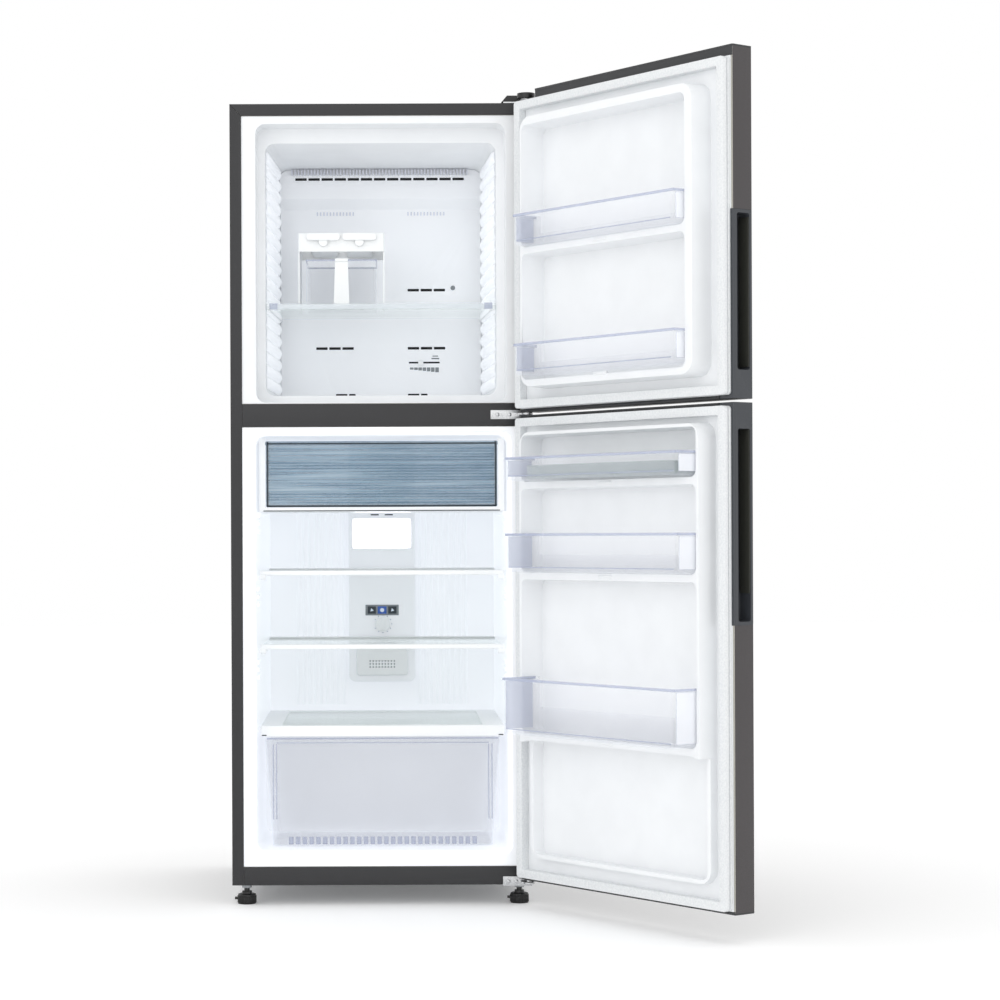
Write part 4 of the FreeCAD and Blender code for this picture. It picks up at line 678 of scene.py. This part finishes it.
class FRIDGE_OT_air_duct(bpy.types.Operator):
    """Dress the air duct: lamp, indicator plate, knob scale and air treatment unit"""

    bl_idname = "fridge.air_duct"
    bl_label = "Air duct"

    def execute(self, context):
        rounded_node("fridge_duct", 2.5, 4)
        for node in ("lamp_lens", "ion_unit_cover", "temp_knob"):
            rounded_node(node, 0.6)
        front = cad_box("ion_unit_cover")[1].y
        lamp_low, lamp_high = cad_box("lamp_lens")
        knob_low, knob_high = cad_box("temp_knob")
        centre_x, centre_z = (knob_low.x + knob_high.x) / 2, (knob_low.z + knob_high.z) / 2
        face = bmesh.new()
        plate_z = (centre_z + 17, centre_z + 38)
        bar(face, (-PLATE_HALF, PLATE_HALF), (front - 1.0, front + 0.4), plate_z, 0, 0.4)
        for x0, x1, index in TILES:
            bar(face, (x0, x1), (front - 1.5, front - 0.9), (centre_z + 20, centre_z + 35), index, 0.2)
        for x in (-20.5, 20.5):
            disc(face, (x, front - 1.45, centre_z + 27.5), 4.0, 0.4, 3, 3, 0.1)
        disc(face, (0, front - 1.45, centre_z + 27.5), 4.2, 0.4, 3, 8, 0.1)
        shade(face)
        tiles = ["print_grey", "seam_dark", "icon_blue", "icon_pale"]
        finish_piece("control_indicator", face, "cabinet", "cover_white", tiles)
        ticks = bmesh.new()
        for number in range(TICKS):
            angle = math.radians(-60 + number * TICK_STEP)
            out = Vector((math.sin(angle), 0, math.cos(angle)))
            near = Vector((centre_x, front, centre_z)) + out * TICK_RING
            bar(ticks, (near.x - 0.8, near.x + 0.8), (front - 0.3, front + 0.2), (near.z - 0.8, near.z + 0.8))
        finish_piece("knob_scale", ticks, "cabinet", "cover_white", "print_grey")
        surround = bmesh.new()
        top, bottom = lamp_high.z + 5, lamp_low.z - 5
        y = (front - 2.6, front + 0.4)
        bar(surround, (-SURROUND_HALF, SURROUND_HALF), y, (lamp_high.z + SURROUND_GAP, top), 0, 0.8)
        bar(surround, (-SURROUND_HALF, SURROUND_HALF), y, (bottom, lamp_low.z - SURROUND_GAP), 0, 0.8)
        for side in (-1, 1):
            x = sorted((side * SURROUND_INNER, side * SURROUND_HALF))
            bar(surround, x, y, (lamp_low.z - SURROUND_GAP, lamp_high.z + SURROUND_GAP), 0, 0.8)
        for x in (-14, 14):
            bar(surround, (x - 8, x + 8), (front - 0.4, front + 0.2), (top + 3, top + 5.5), 1)
        shade(surround)
        finish_piece("lamp_surround", surround, "cabinet", "cover_white", ["cover_white", "seam_dark"])
        unit_low = cad_box("ion_unit_cover")[0]
        # Grey dots over the vent holes: painted shade in the holes.
        vents = bmesh.new()
        for row in range(VENT_ROWS):
            for column in range(VENT_COLUMNS):
                x, z = -24 + VENT_PITCH * column, unit_low.z + 17 + VENT_PITCH * row
                disc(vents, (x, unit_low.y + 0.2, z), 1.5, 0.6, 0, 12, 0.2)
        shade(vents)
        finish_piece("air_unit_vents", vents, "cabinet", "trim_white", "print_grey")
        return {"FINISHED"}


class FRIDGE_OT_chiller(bpy.types.Operator):
    """Dress the chiller shelf and its tinted flap, with the ribs and edges of the flap"""

    bl_idname = "fridge.chiller"
    bl_label = "Chiller"

    def execute(self, context):
        rounded_node("chiller_shelf", 0.8)
        rounded_node("chiller_flap", 0.8)
        low, high = cad_box("chiller_flap")
        shelf = cad_box("chiller_shelf")[0]
        edges = bmesh.new()
        half = -low.x - 13
        front = low.y
        for x0, x1 in ((-half, -half + 3.2), (half - 3.2, half)):
            bar(edges, (x0, x1), (front - 0.9, front + 0.2), (low.z + 1, high.z - 1), 0, 0.4)
        for z0, z1 in ((low.z, low.z + 3.5), (high.z - 6, high.z - 3.2)):
            bar(edges, (-half, half), (front - 0.9, front + 0.2), (z0, z1), 0, 0.4)
        shade(edges)
        finish_piece("flap_edges", edges, "chiller_flap", "flap_blue", "seam_dark")
        pitch = context.scene.fridge_door.flap_rib_pitch / MM
        ribs = bmesh.new()
        for number in range(int((high.z - low.z - 16) / pitch)):
            z = low.z + 7 + number * pitch
            height = (z, z + 0.42 * pitch)
            bar(ribs, (-half + 4, half - 4), (front - 0.45, front + 0.2), height, 0, LINE_ROUND)
        shade(ribs)
        finish_piece("flap_ribs", ribs, "chiller_flap", "flap_blue", "flap_blue")
        lip = bmesh.new()
        height = (shelf.z + 0.2, shelf.z + 2.0)
        bar(lip, (-half - 6, half + 6), (shelf.y - 0.8, shelf.y + 1), height, 0, LINE_ROUND)
        shade(lip)
        finish_piece("chiller_seam", lip, "cabinet", "trim_white", "seam_dark")
        return {"FINISHED"}


class FRIDGE_OT_shelves(bpy.types.Operator):
    """Dress the glass shelves and their mouldings"""

    bl_idname = "fridge.shelves"
    bl_label = "Shelves"

    def execute(self, context):
        edge = context.scene.fridge_cabinet.edge_round / MM
        rounded_node("freezer_shelf", edge, 3, "shelf_glass")
        for level in ("upper", "lower"):
            rounded_node(level + "_shelf_glass", 0.5)
            rounded_node(level + "_shelf_trim", edge)
        low, high = cad_box("freezer_shelf")
        trim = bmesh.new()
        half = high.x - 6
        bar(trim, (-half, half), (low.y - 0.8, low.y + 1.2), (high.z - 10.5, high.z - 1.5), 0, 0.6)
        for side in (-1, 1):
            x = sorted((side * half, side * (half - 16)))
            bar(trim, x, (low.y - 2.0, low.y + 1), (high.z - 12, high.z + 0.6), 1, 0.8)
        shade(trim)
        finish_piece("freezer_shelf_edge", trim, "freezer_shelf", "trim_white", ["glass_edge", "edge_violet"])
        return {"FINISHED"}


class FRIDGE_OT_ice_maker(bpy.types.Operator):
    """Dress the ice maker: frame, twist trays and the clear ice bin with its handle"""

    bl_idname = "fridge.ice_maker"
    bl_label = "Ice maker"

    def execute(self, context):
        for node in ("ice_maker_frame", "ice_bin"):
            rounded_node(node, 0.8)
        for node in ("ice_tray_left", "ice_tray_right"):
            rounded_node(node, 1.2, 3, "trim_white")
        low, high = cad_box("ice_bin")
        centre = (low.x + high.x) / 2
        handle = bmesh.new()
        rings = []
        for z, half in ((low.z + 3, 14.5), (high.z - 8, 12.0), (high.z + 1.5, 12.0)):
            corners = ((-half, -1.6), (half, -1.6), (half, 1.2), (-half, 1.2))
            rings.append([handle.verts.new(mm(centre + x, low.y + y, z)) for x, y in corners])
        loft_closed(handle, rings)
        bar(handle, (centre - 12, centre + 12), (low.y - 5.5, low.y - 1), (high.z - 4, high.z + 1.5), 0, 0.8)
        shade(handle)
        finish_piece("ice_bin_handle", handle, "ice_bin", "trim_white")
        rim = bmesh.new()
        rim_bead(rim, low, high, high.z - 3.0, high.z, 1.0, 0.8)
        shade(rim)
        finish_piece("ice_bin_rim", rim, "ice_bin", "clear_plastic", "edge_violet")
        return {"FINISHED"}


def rim_bead(work, low, high, z0, z1, proud, wall, sides="nsew"):
    """Bars round the outside of a box between two heights, on the sides named by compass letters."""
    across_x = (low.x - proud, high.x + proud)
    between_y = (low.y + wall, high.y - wall)
    ranges = {
        "s": (across_x, (low.y - proud, low.y + wall)),
        "n": (across_x, (high.y - wall, high.y + proud)),
        "w": ((low.x - proud, low.x + wall), between_y),
        "e": ((high.x - wall, high.x + proud), between_y),
    }
    for side, (x, y) in ranges.items():
        if side in sides:
            bar(work, x, y, (z0, z1), 0, LINE_ROUND)


class FRIDGE_OT_crisper(bpy.types.Operator):
    """Dress the crisper: cover frame, glass, and the clear drawer with its ribs and rims"""

    bl_idname = "fridge.crisper"
    bl_label = "Crisper"

    def execute(self, context):
        edge = context.scene.fridge_cabinet.edge_round / MM
        rounded_node("crisper_cover_frame", edge)
        rounded_node("crisper_cover_glass", 0.5)
        rounded_node("crisper_drawer", 0.8)
        low, high = cad_box("crisper_drawer")
        front = low.y + 4
        lines = bmesh.new()
        top_line = (high.z - 3.0, high.z - 0.2)
        bar(lines, (low.x + 4, high.x - 4), (front - 0.6, front + 0.8), top_line, 0, LINE_ROUND)
        bar(lines, (low.x + 22, high.x - 22), (low.y - 0.4, low.y + 0.6), (high.z - 10, high.z - 8.4), 0, 0.2)
        for side in (-1, 1):
            for inset in (16, 22):
                x = side * (high.x - inset)
                upright = (high.z - 150, high.z - 12)
                bar(lines, (x - 0.9, x + 0.9), (front + 0.6, front + 2.2), upright, 0, LINE_ROUND)
        shade(lines)
        finish_piece("drawer_rim_lines", lines, "crisper_drawer", "clear_plastic", "edge_violet")
        ribs = bmesh.new()
        pitch = context.scene.fridge_door.drawer_rib_pitch / MM
        count = int((high.x - 40) * 2 / pitch)
        for number in range(count):
            x = -count * pitch / 2 + (number + 0.5) * pitch
            half = 0.34 * pitch
            bar(ribs, (x - half, x + half), (front + 6.5, front + 10.5), (low.z + 3, low.z + 17), 0, 1.0)
        shade(ribs)
        finish_piece("drawer_foot_ribs", ribs, "crisper_drawer", "clear_plastic", "edge_violet")
        low, high = cad_box("crisper_cover_frame")
        seam = bmesh.new()
        for side in (-1, 1):
            x = sorted((side * (high.x - 1.5), side * (high.x - 10)))
            bar(seam, x, (low.y - 0.4, low.y + 0.6), (low.z + 1, low.z + 3), 0, 0.2)
        shade(seam)
        finish_piece("crisper_cover_seams", seam, "cabinet", "trim_white", "seam_dark")
        return {"FINISHED"}


# ---------------------------------------------------------------- the doors
def closed_mm(node):
    """Lowest and highest corner of a door node in millimetres, with its door closed."""
    low, high = closed_box(node)
    return low / MM, high / MM


class FRIDGE_OT_door_shells(bpy.types.Operator):
    """Dress the door skins, end caps, grips, gaskets and linings"""

    bl_idname = "fridge.door_shells"
    bl_label = "Door shells"

    def execute(self, context):
        sheet = context.scene.fridge_cabinet.sheet_round / MM
        for door in ("freezer_door", "fridge_door"):
            rounded_node(door + "_skin", sheet / 2)
            rounded_node(door + "_caps", 1.0)
            rounded_node(door + "_grip", 2.0, 4)
            rounded_node(door + "_liner", 4.0, 5)
            rounded_node(door + "_gasket", 1.0)
            keep_node(door + "_foam")
            # A dark olive strip in each grip's pocket: painted shade where the pocket is dark.
            low, high = closed_mm(door + "_grip")
            pocket = bmesh.new()
            ends = (low.z + 52, high.z - 12)
            bar(pocket, (low.x + 1.0, low.x + 24.0), (low.y + 7.6, low.y + 9.0), ends, 0, LINE_ROUND)
            swing_open(pocket)
            shade(pocket)
            finish_piece(door + "_grip_painted_shade", pocket, door, "grip_grey", "grip_olive")
        return {"FINISHED"}


BINS = (
    "freezer_bin_upper",
    "freezer_bin_lower",
    "fridge_bin_top",
    "fridge_bin_middle",
    "fridge_bin_bottom",
)


class FRIDGE_OT_door_bins(bpy.types.Operator):
    """Dress the clear door bins with rims, foot lines and latch bumps, and the egg tray"""

    bl_idname = "fridge.door_bins"
    bl_label = "Door bins"

    def execute(self, context):
        settings = context.scene.fridge_door
        bead, latch = settings.bead / MM, settings.latch_width / MM
        for node in BINS:
            door = node.split("_")[0] + "_door"
            rounded_node(node, 0.8)
            low, high = closed_mm(node)
            trim = bmesh.new()
            rim_bead(trim, low, high, high.z - bead, high.z, 0.4, 1.4, "new")
            foot, face = low.z + 8, (high.y - 1.6, high.y + 0.3)
            bar(trim, (low.x + 9, high.x - 9), face, (foot, low.z + 9.6), 1, LINE_ROUND)
            end_y, end_z = (low.y + 10, high.y - 6), (foot, high.z - bead - 1)
            bar(trim, (high.x - 3.2, high.x - 1.2), end_y, end_z, 1, 0.4)
            bar(trim, (low.x + 1.2, low.x + 3.0), end_y, end_z, 2, 0.4)
            swing_open(trim)
            shade(trim)
            tints = ["edge_violet", "edge_violet", "haze_white"]
            finish_piece(node + "_trim", trim, BODY_OF[node], "clear_plastic", tints)
            bump = bmesh.new()
            centre, dike = (low.x + high.x) / 2, cad_dike(door)
            bump_x = (centre - latch / 2, centre + latch / 2)
            bar(bump, bump_x, (dike - 4, dike + 1.5), (low.z - 9, low.z - 3.5), 0, 1.5)
            swing_open(bump)
            shade(bump)
            finish_piece(node + "_latch", bump, door, "liner_white")
        tray = rounded_tray()
        finish_piece("egg_tray_finish", tray, "fridge_bin_top", "clear_plastic", "clear_egg", ["egg_tray"])
        return {"FINISHED"}


def cad_dike(door):
    """How far the ring of a door lining stands into the cabinet, in millimetres, door closed."""
    return closed_mm(door + "_liner")[1].y


# The egg tray's cups and wall, in millimetres.
EGG_CUPS, EGG_CUP_RADIUS, EGG_CUP_DEPTH, EGG_CUP_DRAFT, EGG_WALL = 7, 18.5, 20.0, 0.8, 1.2
EGG_CUP_SIDES = 32


def rounded_tray():
    """The egg tray as one moulding: a plate with a row of round cups and a skirt."""
    low, high = closed_mm("egg_tray")
    work = bmesh.new()
    radius, foot_radius = EGG_CUP_RADIUS, EGG_CUP_RADIUS * EGG_CUP_DRAFT
    pitch = (high.x - low.x) / EGG_CUPS
    middle = (low.y + high.y) / 2
    top = high.z
    for number in range(EGG_CUPS):
        centre = low.x + (number + 0.5) * pitch
        square, ring, foot = [], [], []
        for step in range(EGG_CUP_SIDES):
            angle = 2 * math.pi * (step + 0.5) / EGG_CUP_SIDES
            c, s = math.cos(angle), math.sin(angle)
            reach_out = 1 / max(abs(c) / (pitch / 2), abs(s) / ((high.y - low.y) / 2))
            square.append(work.verts.new(mm(centre + c * reach_out, middle + s * reach_out, top)))
            ring.append(work.verts.new(mm(centre + c * radius, middle + s * radius, top)))
            low_ring = mm(centre + c * foot_radius, middle + s * foot_radius, top - EGG_CUP_DEPTH)
            foot.append(work.verts.new(low_ring))
        for step in range(EGG_CUP_SIDES):
            after = (step + 1) % EGG_CUP_SIDES
            work.faces.new((square[step], square[after], ring[after], ring[step]))
            work.faces.new((ring[step], ring[after], foot[after], foot[step]))
        work.faces.new(list(reversed(foot)))
    bmesh.ops.remove_doubles(work, verts=work.verts, dist=0.4 * MM)
    bmesh.ops.recalc_face_normals(work, faces=work.faces)
    bmesh.ops.solidify(work, geom=list(work.faces), thickness=EGG_WALL * MM)
    rim_bead(work, low, high, low.z, top, 0.0, 1.6)
    swing_open(work)
    shade(work)
    return work


class FRIDGE_OT_hinges(bpy.types.Operator):
    """Dress the hinges: plates with screws, and the cover of the top hinge"""

    bl_idname = "fridge.hinges"
    bl_label = "Hinges"

    def execute(self, context):
        for node in ("top_hinge", "mid_hinge", "bottom_hinge"):
            rounded_node(node, 0.5)
        rounded_node("top_hinge_cover", 2.0, 4)
        screws = bmesh.new()
        for node, places in (("mid_hinge", (12, 34, 52)), ("bottom_hinge", (10, 24))):
            low, high = cad_box(node)
            for along in places:
                place = (low.x + along, -2.5, low.z + 8 if node == "bottom_hinge" else (low.z + high.z) / 2)
                screw_head(screws, place)
        shade(screws)
        finish_piece("hinge_screws", screws, "cabinet", "hinge_steel")
        return {"FINISHED"}


def screw_head(work, place, radius=3.6, height=1.8):
    """A domed screw head that faces the viewer."""
    shares = ((1.0, 0.0), (0.98, 0.45), (0.75, 0.8), (0.4, 1.0))
    profile = [(radius * across, height * up) for across, up in shares]
    turned(work, [(r * MM, h * MM) for r, h in profile], mm(*place), (0, -1, 0), 24)


# Rim of a levelling foot, in millimetres.
FOOT_RADIUS, KNURL_RING, KNURL_RADIUS, KNURL_HEIGHT, KNURLS = 16.5, 16.4, 0.9, 12, 36


class FRIDGE_OT_feet(bpy.types.Operator):
    """Dress the levelling feet with knurled rims, and the rollers"""

    bl_idname = "fridge.feet"
    bl_label = "Feet and rollers"

    def execute(self, context):
        for node in ("foot_left", "foot_right"):
            rounded_node(node, 0.8)
            low, high = cad_box(node)
            centre_x = high.x - FOOT_RADIUS
            centre_y = (low.y + high.y) / 2
            knurl = bmesh.new()
            profile = [(KNURL_RADIUS * MM, 0.0), (KNURL_RADIUS * MM, KNURL_HEIGHT * MM)]
            for step in range(KNURLS):
                angle = 2 * math.pi * step / KNURLS
                x, y = centre_x + KNURL_RING * math.cos(angle), centre_y + KNURL_RING * math.sin(angle)
                turned(knurl, profile, mm(x, y, 2.5), (0, 0, 1), 8)
            shade(knurl)
            finish_piece(node + "_knurl", knurl, node, "black_plastic")
        rounded_node("rear_rollers", 0.8)
        return {"FINISHED"}


class FRIDGE_OT_works(bpy.types.Operator):
    """Dress what lies behind the covers: evaporator, fan, compressor and lead gland"""

    bl_idname = "fridge.works"
    bl_label = "Hidden works"

    def execute(self, context):
        for node in ("evaporator", "fan_motor", "fan_wheel", "freezer_control_slider"):
            keep_node(node)
        rounded_node("compressor", 1.0)
        rounded_node("cord_gland", 0.8)
        return {"FINISHED"}


# ---------------------------------------------------------------- the stage
FLOOR_HALF = 14.0
CAMERA_SHIFT = (0.1182, 0.0355)
LAMP_AIM = Vector((0.1, 0.1, 0.75))
KEY_PLACE, KEY_WIDTH = (-1.4, -3.6, 2.2), 2.6
FILL_PLACE, FILL_WIDTH, FILL_SHARE = (1.4, -4.2, 1.2), 2.2, 0.5


class FRIDGE_OT_stage(bpy.types.Operator):
    """Add the floor, the soft lights and the camera"""

    bl_idname = "fridge.stage"
    bl_label = "Stage"

    def execute(self, context):
        settings = context.scene.fridge_stage
        work = bmesh.new()
        bmesh.ops.create_grid(work, x_segments=1, y_segments=1, size=FLOOR_HALF)
        mesh = bpy.data.meshes.new("studio_floor")
        work.to_mesh(mesh)
        work.free()
        floor = bpy.data.objects.new("studio_floor", mesh)
        context.scene.collection.objects.link(floor)
        # Matt backdrop paper: even and white, with no sheen.
        material, _, shader = new_material("matt_studio_paper", Roughness=0.9)
        shader.inputs["Base Color"].default_value = rgba(settings.floor_colour)
        shader.inputs["Emission Color"].default_value = rgba(settings.floor_colour)
        shader.inputs["Emission Strength"].default_value = settings.floor_glow
        mesh.materials.append(material)
        world = bpy.data.worlds.new("studio_light")
        context.scene.world = world
        world.use_nodes = True
        background = world.node_tree.nodes["Background"]
        background.inputs["Color"].default_value = (1.0, 1.0, 1.0, 1.0)
        background.inputs["Strength"].default_value = settings.ambient
        self.lamp("key_panel", KEY_PLACE, KEY_WIDTH, settings.key_power)
        self.lamp("fill_panel", FILL_PLACE, FILL_WIDTH, settings.key_power * FILL_SHARE)
        self.camera(context, settings)
        context.scene.view_settings.view_transform = "Standard"
        return {"FINISHED"}

    @staticmethod
    def lamp(name, place, width, power):
        light = bpy.data.lights.new(name, "AREA")
        light.shape = "SQUARE"
        light.size = width
        light.energy = power
        lamp = bpy.data.objects.new(name, light)
        lamp.location = place
        lamp.rotation_euler = (LAMP_AIM - Vector(place)).to_track_quat("-Z", "Y").to_euler()
        bpy.context.scene.collection.objects.link(lamp)

    @staticmethod
    def camera(context, settings):
        camera = bpy.data.cameras.new("camera")
        camera.sensor_width = 36.0
        camera.lens = settings.lens
        camera.shift_x, camera.shift_y = CAMERA_SHIFT
        camera.clip_end = 60.0
        eye = bpy.data.objects.new("camera", camera)
        eye.location = (0.0, -settings.camera_distance, settings.camera_height)
        eye.rotation_euler = (math.radians(90), settings.camera_roll, 0.0)
        context.scene.collection.objects.link(eye)
        context.scene.camera = eye


STEPS = (
    FRIDGE_OT_case,
    FRIDGE_OT_freezer_lining,
    FRIDGE_OT_fridge_lining,
    FRIDGE_OT_air_duct,
    FRIDGE_OT_chiller,
    FRIDGE_OT_shelves,
    FRIDGE_OT_ice_maker,
    FRIDGE_OT_crisper,
    FRIDGE_OT_door_shells,
    FRIDGE_OT_door_bins,
    FRIDGE_OT_hinges,
    FRIDGE_OT_feet,
    FRIDGE_OT_works,
    FRIDGE_OT_stage,
)


class FRIDGE_PT_looks(bpy.types.Panel):
    """Lists the steps and sizes in the 3D view's sidebar"""

    bl_label = "Refrigerator"
    bl_idname = "FRIDGE_PT_looks"
    bl_space_type = "VIEW_3D"
    bl_region_type = "UI"
    bl_category = "Refrigerator"

    def draw(self, context):
        for group in GROUPS:
            settings = getattr(context.scene, group)
            column = self.layout.column(align=True)
            for name in settings.__annotations__:
                column.prop(settings, name)
        for step in STEPS:
            self.layout.operator(step.bl_idname)


GROUPS = {
    "fridge_cabinet": FridgeCabinetSettings,
    "fridge_door": FridgeDoorSettings,
    "fridge_stage": FridgeStageSettings,
}
CLASSES = (*GROUPS.values(), *STEPS, FRIDGE_PT_looks)


def register():
    for one in CLASSES:
        bpy.utils.register_class(one)
    for name, group in GROUPS.items():
        setattr(bpy.types.Scene, name, bpy.props.PointerProperty(type=group))


def unregister():
    for name in GROUPS:
        delattr(bpy.types.Scene, name)
    for one in reversed(CLASSES):
        bpy.utils.unregister_class(one)


def main():
    register()
    build_materials()
    for step in STEPS:
        group, name = step.bl_idname.split(".")
        getattr(getattr(bpy.ops, group), name)()
    bpy.context.view_layer.update()


if __name__ == "__main__":
    main()
